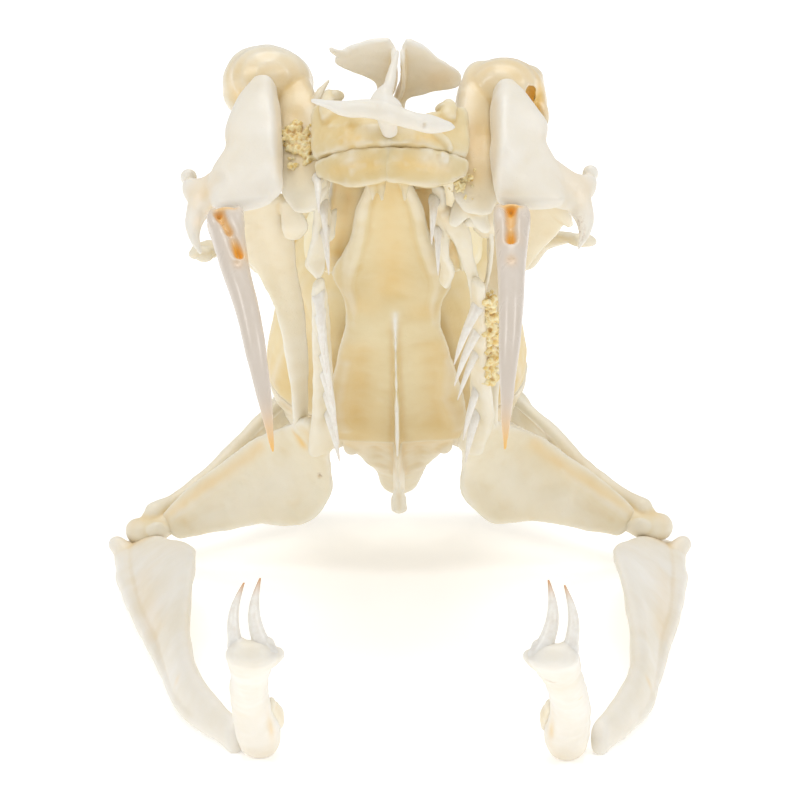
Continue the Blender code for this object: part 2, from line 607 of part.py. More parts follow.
def add_snout(skull, cranium):
    mid = Side()
    bar = mid.rod([(-3.8, 36.5, 1.25, 0.28, 0.22), (-2.6, 37.1, 0.75, 0.45, 0.36),
                   (-1.3, 37.6, 0.1, 0.65, 0.45), (-0.1, 37.9, -0.3, 0.75, 0.5),
                   (1.2, 37.5, -0.45, 0.65, 0.45), (2.3, 37.0, -0.45, 0.5, 0.4),
                   (3.3, 36.3, -0.25, 0.3, 0.25)], up=(0, 0, 1))
    spike = mid.rod([(-0.2, 37.6, 0.0, 0.9, 0.45), (-0.15, 37.4, 0.9, 0.5, 0.4),
                     (0.05, 37.0, 2.4, 0.36, 0.33), (0.3, 36.5, 3.8, 0.32, 0.3),
                     (0.5, 36.1, 4.9, 0.26, 0.25)], up=(0, 1, 0))
    tongue = mid.rod([(0.0, 37.2, -0.5, 0.9, 0.35), (0.1, 36.2, -0.6, 0.8, 0.3),
                      (0.2, 35.5, -0.6, 0.5, 0.3)], up=(0, 0, 1))
    skull.bone("premaxilla", cranium, [bar, spike, tongue], 380, BONE_WHITE, voxel=THIN_VOXEL, smoothing=2)

    reach = {"left": 0.35, "right": 0.0}
    for side in SIGN:
        part = Side(side)
        out = reach[side]
        plate = part.blade([((0.35, 35.7, 5.75), (1.6, 35.5, 5.8), 0.55),
                            ((0.35, 34.9, 5.7), (2.6 + out, 35.0, 5.5), 0.6),
                            ((0.35, 33.8, 5.5), (2.7, 34.0, 5.4), 0.6),
                            ((0.35, 32.8, 5.2), (1.5, 33.0, 5.2), 0.6),
                            ((0.3, 31.9, 4.9), (0.9, 32.0, 4.9), 0.55),
                            ((0.25, 30.9, 4.3), (0.7, 30.9, 4.3), 0.55),
                            ((0.25, 30.2, 3.8), (0.8, 30.2, 3.8), 0.5)])
        point = part.rod([(1.8, 34.6, 5.5, 0.5, 0.3), (2.7 + out, 35.1, 5.45, 0.4, 0.28),
                          (3.1 + out, 35.5, 5.4, 0.25, 0.25)])
        septum = part.blade([((0.45, 35.2, 5.6), (0.45, 34.9, 4.4), 0.5),
                             ((0.45, 33.6, 5.4), (0.45, 33.4, 3.9), 0.5),
                             ((0.45, 32.2, 5.0), (0.45, 32.1, 3.9), 0.5)])
        skull.bone("nasal_" + side, cranium, [plate, point, septum], 260, BONE, voxel=THIN_VOXEL,
                   smoothing=1)

    for side in SIGN:
        part = Side(side)
        body = part.blade([((0.35, 36.2, 0.6), (1.9, 35.9, 0.9), 0.9),
                           ((0.35, 35.3, 0.8), (3.0, 35.0, 1.4), 1.2),
                           ((0.35, 34.2, 1.1), (3.6, 34.0, 1.5), 1.4),
                           ((0.35, 33.0, 1.3), (3.5, 32.9, 1.5), 1.3),
                           ((0.6, 31.9, 1.6), (2.6, 31.8, 1.6), 1.1)])
        horn = part.rod([(2.9, 34.4, 1.9, 0.6, 0.4), (3.1, 34.2, 2.9, 0.4, 0.3),
                         (3.0, 34.1, 3.7, 0.3, 0.25)], up=(0, 1, 0))
        skull.bone("septomaxilla_" + side, cranium, [body, horn], 300, BONE_PALATE, voxel=THIN_VOXEL,
                   smoothing=1)

    for side in SIGN:
        part = Side(side)
        body = part.blade([((0.3, 35.0, -0.1), (1.8, 34.8, -0.1), 0.8),
                           ((0.3, 34.0, 0.0), (3.1, 33.8, -0.1), 1.0),
                           ((0.3, 32.8, 0.2), (3.3, 32.6, 0.1), 1.1),
                           ((0.3, 31.6, 0.4), (2.6, 31.5, 0.4), 1.0),
                           ((0.3, 30.6, 0.6), (1.4, 30.5, 0.6), 0.8)])
        prong = part.rod([(0.8, 33.0, -0.1, 0.4, 0.4), (0.7, 32.2, -0.5, 0.3, 0.3),
                          (0.7, 31.7, -0.8, 0.2, 0.2)], up=(0, 0, 1))
        skull.bone("vomer_" + side, cranium, [body, prong], 220, BONE_PALATE, voxel=THIN_VOXEL,
                   smoothing=1)


def add_palate(skull, cranium):
    """Toothed palatines and pterygoids, and the ectopterygoids that push the maxillae."""
    out = {"left": 0.0, "right": -0.9}
    bite = {"left": (32.6, 30.9, 29.0), "right": (31.1, 29.3)}
    for side in SIGN:
        part = Side(side, shift=(out[side], 0.0, 0.0))
        body = part.blade([((3.2, 32.9, -0.3), (3.7, 32.9, -0.8), 0.5),
                           ((3.2, 31.2, -0.4), (3.8, 31.2, -1.2), 0.6),
                           ((3.1, 29.4, -0.6), (3.9, 29.4, -1.7), 0.6),
                           ((3.3, 27.9, -1.2), (4.1, 27.8, -2.4), 0.6),
                           ((3.5, 27.0, -2.0), (3.9, 26.9, -2.8), 0.5)])
        pieces = [body, part.blade([((2.6, 29.2, -0.2), (3.5, 29.4, -1.0), 0.5),
                                    ((2.9, 28.0, -0.9), (3.7, 28.1, -1.6), 0.5)])]
        if side == "right":
            strut = Side(side).rod([(2.9, 30.4, -1.2, 0.4, 0.4), (3.5, 29.6, -1.7, 0.55, 0.35),
                                    (3.95, 27.6, -2.2, 0.36, 0.3), (4.35, 26.0, -2.7, 0.36, 0.3),
                                    (4.45, 25.5, -2.9, 0.36, 0.3)], up=(0, 0.5, -0.8))
            pieces.append(strut)
        teeth = [part.tooth((3.5, f, -0.9 - 0.25 * (32.6 - f)), (3.25, f - 0.5, -3.3 - 0.25 * (32.6 - f)),
                            0.3) for f in bite[side]]
        skull.bone("palatine_" + side, cranium, pieces, 280, BONE, teeth=teeth,
                   voxel=THIN_VOXEL, smoothing=1)

    for side in SIGN:
        part = Side(side)
        arm = part.blade([((5.2, 31.0, -0.5), (8.6, 30.9, -1.1), 0.8),
                          ((5.1, 29.6, -0.7), (9.0, 29.4, -1.3), 0.7),
                          ((5.0, 27.6, -0.8), (7.9, 27.0, -1.3), 0.65),
                          ((4.9, 25.0, -0.9), (6.9, 24.6, -1.3), 0.65),
                          ((4.7, 21.5, -1.0), (6.1, 21.2, -1.5), 0.65),
                          ((4.6, 17.0, -1.7), (5.6, 16.8, -2.2), 0.65),
                          ((4.7, 13.0, -2.5), (5.4, 12.8, -3.0), 0.6)])
        skull.bone("ectopterygoid_" + side, cranium, [arm], 300, BONE, voxel=THIN_VOXEL, smoothing=1)

    rows = {"left": (26.0, 24.1, 22.3, 20.5, 18.7, 16.9, 15.0), "right": (24.7, 22.7, 20.0, 17.6, 15.4)}
    lean = {"left": -0.7, "right": -1.2}
    inset = {"left": 0.0, "right": 0.75}
    for side in SIGN:
        part = Side(side)
        i = inset[side]
        rail = part.blade([((3.5 + i, 26.7, -2.7), (4.0 + i, 26.7, -3.4), 0.5),
                           ((3.3 + i, 24.0, -2.8), (4.1 + i, 24.0, -3.7), 0.7),
                           ((3.3 + i, 19.0, -3.0), (4.2 + i, 19.0, -4.0), 0.8),
                           ((3.3 + i, 15.0, -3.2), (4.4 + i, 15.0, -4.2), 0.8),
                           ((3.3, 12.0, -3.4), (4.6, 12.2, -4.3), 0.9)])
        plate = part.blade([((4.9, 14.0, -3.2), (3.8, 13.8, -4.0), 0.8),
                            ((5.8, 11.5, -2.4), (3.6, 10.8, -4.2), 0.8),
                            ((7.2, 9.6, -2.4), (3.6, 9.2, -5.1), 0.75),
                            ((8.6, 8.0, -2.9), (5.0, 7.4, -5.7), 0.7),
                            ((9.9, 6.8, -3.2), (7.3, 6.3, -5.0), 0.7),
                            ((11.2, 5.6, -3.5), (9.6, 5.3, -4.8), 0.65),
                            ((12.4, 4.7, -4.0), (11.6, 4.5, -4.7), 0.6)], sides=14)
        teeth = [part.tooth((3.7 + i, f, -3.2), (3.6 + i + lean[side], f - 1.8, -5.7), 0.32)
                 for f in rows[side]]
        skull.bone("pterygoid_" + side, cranium, [rail, plate], 480, BONE, teeth=teeth,
                   voxel=THIN_VOXEL, smoothing=1)


def add_cheeks(skull, cranium):
    lift = {"left": -0.25, "right": 0.3}
    for side in SIGN:
        part = Side(side)
        z = lift[side]
        bar = part.rod([(6.9, 16.4, 5.0 + z * 0.3, 0.7, 0.6), (7.7, 18.4, 4.6 + z * 0.5, 0.6, 0.45),
                        (8.9, 20.4, 3.6 + z, 0.55, 0.4), (9.7, 21.8, 2.5 + z, 0.6, 0.45),
                        (10.0, 22.6, 1.9 + z, 0.6, 0.4)])
        pieces = [bar]
        if side == "left":
            pieces.append(part.rod([(9.5, 22.0, 2.5, 0.5, 0.35), (9.85, 22.3, 1.9, 0.72, 0.35),
                                    (9.85, 22.6, 1.4, 0.45, 0.3)], up=(0, 1, 0)))
        skull.bone("postorbital_" + side, cranium, pieces, 200, BONE)

    for side in SIGN:
        part = Side(side)
        strap = part.rod([(4.7, 9.6, 7.2, 0.7, 0.4), (5.2, 6.0, 7.3, 0.9, 0.45),
                          (5.7, 2.5, 7.0, 1.0, 0.5), (5.9, -0.8, 6.3, 0.9, 0.5),
                          (5.7, -2.4, 5.8, 0.6, 0.4)])
        skull.bone("supratemporal_" + side, cranium, [strap], 180, BONE)

    for side in SIGN:
        part = Side(side)
        shaft = part.blade([((5.8, -1.6, 6.9), (6.7, 1.9, 6.0), 0.9),
                            ((7.4, -0.1, 4.1), (8.1, 2.4, 3.6), 0.85),
                            ((9.5, 1.4, 1.0), (9.7, 3.3, 0.6), 0.9),
                            ((11.7, 2.4, -1.5), (11.8, 4.0, -1.9), 1.1),
                            ((13.4, 2.9, -3.1), (13.2, 4.9, -3.6), 1.4)])
        joint = part.rod([(12.7, 4.3, -3.6, 0.8, 0.7), (14.0, 3.9, -3.7, 0.9, 0.85),
                          (15.0, 3.4, -3.4, 0.7, 0.7)], up=(0, 0, 1))
        skull.bone("quadrate_" + side, cranium, [shaft, joint], 320, BONE)

    for side in SIGN:
        part = Side(side)
        stirrup = part.rod([(5.6, 3.2, 3.4, 0.3, 0.3), (7.6, 2.6, 2.6, 0.26, 0.26),
                            (8.4, 2.3, 2.3, 0.26, 0.26)], up=(0, 1, 0), sides=8)
        skull.bone("columella_" + side, cranium, [stirrup], 60, BONE, voxel=THIN_VOXEL, smoothing=0)


def add_jaws(skull, root):
    """Lower jaws: each rests on the floor at its joint and at the bend before the dentary."""
    jx, jy = JAW_JOINT
    bx, by = JAW_BEND
    for side in SIGN:
        sign = SIGN[side]
        hinge = empty("jaw_" + side, (sign * jx, jy, 0.0), root, yaw_deg=JAW_YAW_DEG[side])
        bend = empty("chin_" + side, ((bx + DENTARY_SHIFT[side] - jx) * sign, by - jy, 0.0), hinge,
                     yaw_deg=DENTARY_YAW_DEG[side])
        part = Side(side, shift=(-jx, -jy, 0.0), forward=1.0)
        body = part.blade([((14.8, 12.6, 0.2), (13.2, 13.0, 1.4), 1.3),
                           ((14.85, 10.6, 0.35), (12.6, 11.0, 1.9), 1.6),
                           ((14.4, 5.8, 0.75), (11.2, 6.5, 3.0), 1.25),
                           ((13.7, 0.6, 0.85), (10.75, 1.6, 4.0), 1.1),
                           ((13.0, -3.6, 0.8), (10.6, -2.7, 3.7), 1.1),
                           ((12.1, -8.8, 0.7), (10.8, -8.1, 2.8), 1.15),
                           ((11.1, -13.0, 0.55), (10.4, -12.4, 2.3), 1.1),
                           ((9.8, -16.5, 0.3), (9.3, -16.1, 2.0), 1.1),
                           ((8.3, -18.9, -0.25), (8.3, -18.5, 1.7), 1.1)], sides=14)
        heel = part.rod([(14.7, 10.4, 0.85, 0.85, 0.85), (14.6, 12.0, 0.7, 0.95, 0.9),
                         (14.3, 13.2, 0.75, 0.65, 0.65)], up=(0, 0, 1))
        cheek = part.rod([(14.9, 11.6, 1.1, 0.6, 0.6), (15.3, 11.9, 1.4, 0.5, 0.5)], up=(0, 1, 0))
        skull.bone("compound_" + side, hinge, [body, heel, cheek], 620, BONE_WHITE,
                   floor=[floor_cut()])

        part = Side(side, shift=(-bx, -by, 0.0), forward=1.0)
        strip = part.blade([((6.05, -18.6, 1.2), (6.0, -19.2, 2.3), 0.55),
                            ((6.05, -20.4, 2.0), (6.0, -20.8, 3.4), 0.55),
                            ((6.35, -22.4, 3.5), (6.35, -22.6, 4.4), 0.5)])
        skull.bone("splenial_" + side, bend, [strip], 90, BONE, voxel=THIN_VOXEL, smoothing=0)
        shaft = part.rod([(7.3, -17.6, 0.8, 0.6, 0.6), (7.05, -19.2, 0.75, 1.0, 0.9),
                          (7.1, -20.6, 1.8, 1.15, 0.95), (7.35, -22.5, 3.6, 1.05, 0.9),
                          (7.4, -25.5, 5.5, 0.97, 0.85), (7.3, -28.6, 7.3, 0.95, 0.85),
                          (7.2, -31.2, 8.8, 1.15, 0.9), (7.1, -32.9, 9.7, 1.35, 0.75)],
                         up=(0, 0.5, 0.86), sides=12, power=2.3)
        teeth = [part.tooth((7.68, -33.0, 9.6), (7.45, -30.8, 12.6), 0.42, bow=-0.2),
                 part.tooth((6.5, -33.1, 9.5), (6.75, -30.7, 12.8), 0.42, bow=-0.2)]
        skull.bone("dentary_" + side, bend, [shaft], 320, BONE_WHITE, teeth=teeth,
                   floor=[floor_cut()])


def build():
    for obj in list(bpy.data.objects):
        bpy.data.objects.remove(obj)
    root = empty("skull", (0.0, 0.0, 0.0))
    cranium = empty("cranium", CONDYLE_PLACE, root)
    cranium.rotation_mode = "QUATERNION"
    pitch = Matrix.Rotation(math.radians(-NOSE_UP_DEG), 4, "X")
    yaw = Matrix.Rotation(math.radians(NOSE_YAW_DEG), 4, "Z")
    cranium.rotation_quaternion = (pitch @ yaw).to_quaternion()
    bpy.context.view_layer.update()
    skull = Skeleton()
    add_fangs(skull, cranium)
    add_braincase(skull, cranium)
    add_frontals(skull, cranium)
    add_maxillae(skull, cranium)
    add_prefrontals(skull, cranium)
    add_snout(skull, cranium)
    add_palate(skull, cranium)
    add_cheeks(skull, cranium)
    add_jaws(skull, root)
    skull.finish(root)


build()
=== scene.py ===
"""Looks of the rattlesnake skull: fine bones and teeth, their finishes, and a white studio.

Bones are shaped in millimetres in the coordinates of the skull they belong to. Cranium bones use
(l, f, u): out from the midline, forward from the occipital condyle, and up away from the palate.
Jaw bones use (l, y, z), measured on the floor plan of the whole skull. Left and right are those
of a viewer who looks into the open mouth, with +X on the right.
"""

import itertools
import json
import math

import bpy
import numpy as np
from mathutils import Matrix, Vector

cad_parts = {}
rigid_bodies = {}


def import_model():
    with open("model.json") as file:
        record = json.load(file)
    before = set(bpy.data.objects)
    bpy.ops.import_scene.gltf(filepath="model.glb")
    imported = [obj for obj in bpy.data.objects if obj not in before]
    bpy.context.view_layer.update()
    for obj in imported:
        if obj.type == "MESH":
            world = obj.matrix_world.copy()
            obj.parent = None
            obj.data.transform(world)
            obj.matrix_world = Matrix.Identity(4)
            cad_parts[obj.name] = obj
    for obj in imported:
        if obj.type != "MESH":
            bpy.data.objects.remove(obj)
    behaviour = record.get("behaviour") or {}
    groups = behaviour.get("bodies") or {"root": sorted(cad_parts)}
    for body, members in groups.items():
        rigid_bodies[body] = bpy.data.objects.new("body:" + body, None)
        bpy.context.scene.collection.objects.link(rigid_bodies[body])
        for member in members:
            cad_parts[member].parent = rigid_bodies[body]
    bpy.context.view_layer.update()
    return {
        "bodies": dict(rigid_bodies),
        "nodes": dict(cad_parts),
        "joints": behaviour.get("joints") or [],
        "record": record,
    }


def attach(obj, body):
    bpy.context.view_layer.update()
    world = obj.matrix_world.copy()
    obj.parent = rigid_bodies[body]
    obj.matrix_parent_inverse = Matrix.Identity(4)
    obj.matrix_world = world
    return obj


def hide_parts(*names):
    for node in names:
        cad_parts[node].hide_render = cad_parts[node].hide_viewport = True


# Placement of the cranium and the lower jaws, in millimetres and degrees.
MM = 0.001
FRAME_SHIFT = Vector((0.0082, 4.976, 0.0))
CONDYLE_PLACE = Vector((0.0, 17.64, 1.88))
NOSE_UP_DEG = 48.5
NOSE_YAW_DEG = -1.0
JAW_JOINT = (14.9, 11.5)
JAW_YAW_DEG = {"left": 0.0, "right": 3.2}
JAW_BEND = (7.2, -19.0)
CHIN_YAW_DEG = {"left": 0.0, "right": -7.6}
CHIN_SHIFT = {"left": 0.0, "right": -0.4}
SIGN = {"left": -1.0, "right": 1.0}

# Fineness of the bone surfaces, in millimetres, from thin splints to the roof of the braincase.
SPLINT = 0.05
TISSUE = 0.055
SHEET = 0.06
FINE = 0.07
CHIN = 0.08
RAIL = 0.085
MEDIUM = 0.095
BLOCK = 0.115
BROAD = 0.13
THINNEST_ROD = 0.04
THINNEST_BLADE = 0.08
SECTION_SIDES = 28
STATION_STEPS = 8
# Rounds and depth of the hollow measure, from which the finishes paint shade into hollows and highlight onto
# ridges.
HOLLOW_ROUNDS = 26
HOLLOW_DEPTH = 0.05

# Half the gap that parted bones leave, where the braincase's bones part, how far a cut reaches
# where it has no end, and how far below the floor the jaws are cut.
SEAM = 0.035
BACK_SEAM = 8.0
ROOF_SEAM = 5.7
ROOF_SIDE = 2.5
FAR = 45.0
BELOW_FLOOR = -20.0

# Directions that a carved side faces, or that a rod's height follows. The cranium's are (l, f, u).
TO_VIEWER = (0.0, 0.84, -0.54)
FRONT = (0, 1, 0)
ROOF = (0, 0, 1)
UNDER = (0, 0, -1)
PALATE = (0, 0.8, -0.6)
JAW_TO_VIEWER = (0.0, -0.96, 0.28)
CHIN_TO_VIEWER = (0, -0.8, -0.3)

# Studio: the camera looks down on the skull by its elevation, from far away, as the photo does.
CAMERA_TARGET_MM = Vector((0.0082, 4.976, 12.93))
CAMERA_ELEVATION_DEG = 16.0
CAMERA_DISTANCE_MM = 380.0
CAMERA_LENS = 328.3
CAMERA_SENSOR = 36.0
ROOM_LIGHT = 0.6
FLOOR_GLOW = 0.31
FLOOR_HALF = 1.5
LAMP_AIM = Vector((0.0, 0.0, 0.012))
LAMP_COLOUR = (1.0, 0.99, 0.97)
WHITE = (1.0, 1.0, 1.0, 1.0)
LIGHTS = (("top light", (0.0, 0.08, 0.6), 0.4, 1.2),
          ("right light", (0.42, -0.3, 0.4), 0.16, 0.5),
          ("left light", (-0.42, -0.3, 0.4), 0.16, 0.5))


# Large primes that scatter the noise's lattice corners.
CORNER_PRIMES = (73856093, 19349663, 83492791)
SEED_PRIME = 2654435
SCATTER_PRIME = 1274126177


def lattice_noise(points, size, seed):
    """Smooth value noise from -1 to 1: one drawn value for each corner of a cubic lattice."""
    scaled = points / size
    cell = np.floor(scaled).astype(np.int64)
    part = scaled - cell
    part = part * part * (3 - 2 * part)
    total = np.zeros(len(points))
    for corner in itertools.product((0, 1), repeat=3):
        node = cell + corner
        mixed = np.bitwise_xor.reduce(node * CORNER_PRIMES, axis=1) ^ seed * SEED_PRIME
        mixed = (mixed ^ (mixed >> 13)) * SCATTER_PRIME & 0xFFFFFFFF
        mixed = (mixed ^ (mixed >> 16)) & 0xFFFF
        weight = np.prod(np.where(corner, part, 1 - part), axis=1)
        total += weight * (mixed / 32767.5 - 1)
    return total


def path_distance(points, path):
    """Distance of each point from a run of straight pieces, or from a single point."""
    path = np.array(path, float)
    if len(path) == 1:
        return np.linalg.norm(points - path[0], axis=1)
    best = np.full(len(points), np.inf)
    for a, b in zip(path[:-1], path[1:]):
        run = b - a
        t = np.clip((points - a) @ run / (run @ run), 0, 1)
        best = np.minimum(best, np.linalg.norm(points - a - t[:, None] * run, axis=1))
    return best


def smooth_run(values, steps):
    """A Catmull-Rom curve through rows of numbers, with so many steps for each span."""
    values = np.array(values, float)
    first = 2 * values[0] - values[1]
    last = 2 * values[-1] - values[-2]
    p = np.vstack([first, values, last])
    rows = []
    for i in range(len(values) - 1):
        for k in range(steps):
            t = k / steps
            a, b, c, d = p[i], p[i + 1], p[i + 2], p[i + 3]
            rows.append(0.5 * (2 * b + (c - a) * t + (2 * a - 5 * b + 4 * c - d) * t ** 2
                               + (3 * b - a - 3 * c + d) * t ** 3))
    return np.array(rows + [values[-1]])


def unit(vectors):
    """The vectors brought to length 1."""
    return vectors / np.maximum(np.linalg.norm(vectors, axis=-1, keepdims=True), 1e-9)


def ring_faces(rings, sides):
    """Faces between rings of points, and round the two poles that follow them."""
    faces = []
    for i in range(rings - 1):
        for k in range(sides):
            j = (k + 1) % sides
            faces.append((i * sides + k, i * sides + j, (i + 1) * sides + j, (i + 1) * sides + k))
    last = (rings - 1) * sides
    first_pole = rings * sides
    for k in range(sides):
        j = (k + 1) % sides
        faces.append((first_pole, j, k))
        faces.append((first_pole + 1, last + k, last + j))
    return faces


def shell(centres, wides, highs, power):
    """Points and faces of a closed body through superellipse sections, with rounded ends."""
    turns = np.linspace(0, 2 * math.pi, SECTION_SIDES, endpoint=False)
    c, s = np.cos(turns), np.sin(turns)
    across = np.sign(c) * np.abs(c) ** (2 / power)
    upward = np.sign(s) * np.abs(s) ** (2 / power)
    rings = [centres[i] + across[:, None] * wides[i] + upward[:, None] * highs[i]
             for i in range(len(centres))]
    poles = []
    for end, inner in ((0, 1), (-1, -2)):
        out = unit(centres[end] - centres[inner])
        reach = min(np.linalg.norm(wides[end]), np.linalg.norm(highs[end]))
        caps = []
        for angle in (22, 45, 68):
            rise = math.sin(math.radians(angle))
            size = math.cos(math.radians(angle))
            caps.append(centres[end] + out * reach * rise + across[:, None] * wides[end] * size
                        + upward[:, None] * highs[end] * size)
        rings = caps[::-1] + rings if end == 0 else rings + caps
        poles.append(centres[end] + out * reach)
    return outward(np.vstack(rings + poles), ring_faces(len(rings), SECTION_SIDES))


def outward(points, faces):
    """Turn the faces round where the body they close is inside out."""
    volume = 0.0
    for face in faces:
        a = points[face[0]]
        for i in range(1, len(face) - 1):
            volume += a @ np.cross(points[face[i]], points[face[i + 1]])
    if volume < 0:
        faces = [tuple(reversed(face)) for face in faces]
    return points, faces


def mesh_object(name, bodies):
    """One object that holds some closed bodies."""
    points = []
    faces = []
    for body_points, body_faces in bodies:
        start = len(points)
        points.extend(map(tuple, body_points))
        faces.extend(tuple(i + start for i in face) for face in body_faces)
    mesh = bpy.data.meshes.new(name)
    mesh.from_pydata(points, [], faces)
    obj = bpy.data.objects.new(name, mesh)
    bpy.context.scene.collection.objects.link(obj)
    return obj


def bake_modifiers(obj):
    """Make the object's mesh what its modifiers show, and take them off."""
    graph = bpy.context.evaluated_depsgraph_get()
    baked = bpy.data.meshes.new_from_object(obj.evaluated_get(graph))
    old = obj.data
    obj.modifiers.clear()
    obj.data = baked
    bpy.data.meshes.remove(old)


def drop_object(obj):
    """Remove an object that has served its use, and its mesh."""
    mesh = obj.data
    bpy.data.objects.remove(obj)
    bpy.data.meshes.remove(mesh)


def read_points(mesh):
    flat = np.empty(len(mesh.vertices) * 3, np.float32)
    mesh.vertices.foreach_get("co", flat)
    return flat.reshape(-1, 3).astype(float)


def write_points(mesh, points):
    mesh.vertices.foreach_set("co", points.astype(np.float32).ravel())
    mesh.update()


def read_normals(mesh):
    flat = np.empty(len(mesh.vertices) * 3, np.float32)
    mesh.vertex_normals.foreach_get("vector", flat)
    return flat.reshape(-1, 3).astype(float)


def relaxed(mesh, points, rounds):
    """The points after each has moved towards the middle of its neighbours, so many times."""
    flat = np.empty(len(mesh.edges) * 2, np.int32)
    mesh.edges.foreach_get("vertices", flat)
    a, b = flat.reshape(-1, 2).T
    count = np.maximum(np.bincount(flat, minlength=len(points)), 1)[:, None]
    for _ in range(rounds):
        total = np.stack([np.bincount(a, points[b, i], len(points))
                          + np.bincount(b, points[a, i], len(points)) for i in range(3)], axis=1)
        points = (points + total / count) / 2
    return points


def write_attribute(mesh, name, values):
    layer = mesh.attributes.get(name) or mesh.attributes.new(name, "FLOAT", "POINT")
    layer.data.foreach_set("value", np.asarray(values, np.float32))


def cranium_frame():
    """From (l, f, u) of the tilted cranium to the whole skull's millimetres."""
    turn = Matrix.Rotation(math.radians(-NOSE_UP_DEG), 4, "X") @ Matrix.Rotation(
        math.radians(NOSE_YAW_DEG), 4, "Z")
    return Matrix.Translation(FRAME_SHIFT + CONDYLE_PLACE) @ turn


def jaw_frame(side):
    """From places about one jaw's joint to the whole skull's millimetres."""
    place = FRAME_SHIFT + Vector((SIGN[side] * JAW_JOINT[0], JAW_JOINT[1], 0.0))
    return Matrix.Translation(place) @ Matrix.Rotation(math.radians(JAW_YAW_DEG[side]), 4, "Z")


def chin_frame(side):
    """From places about the bend before one dentary to the whole skull's millimetres."""
    out = JAW_BEND[0] + CHIN_SHIFT[side] - JAW_JOINT[0]
    place = Vector((SIGN[side] * out, JAW_BEND[1] - JAW_JOINT[1], 0.0))
    turn = Matrix.Rotation(math.radians(CHIN_YAW_DEG[side]), 4, "Z")
    return jaw_frame(side) @ Matrix.Translation(place) @ turn


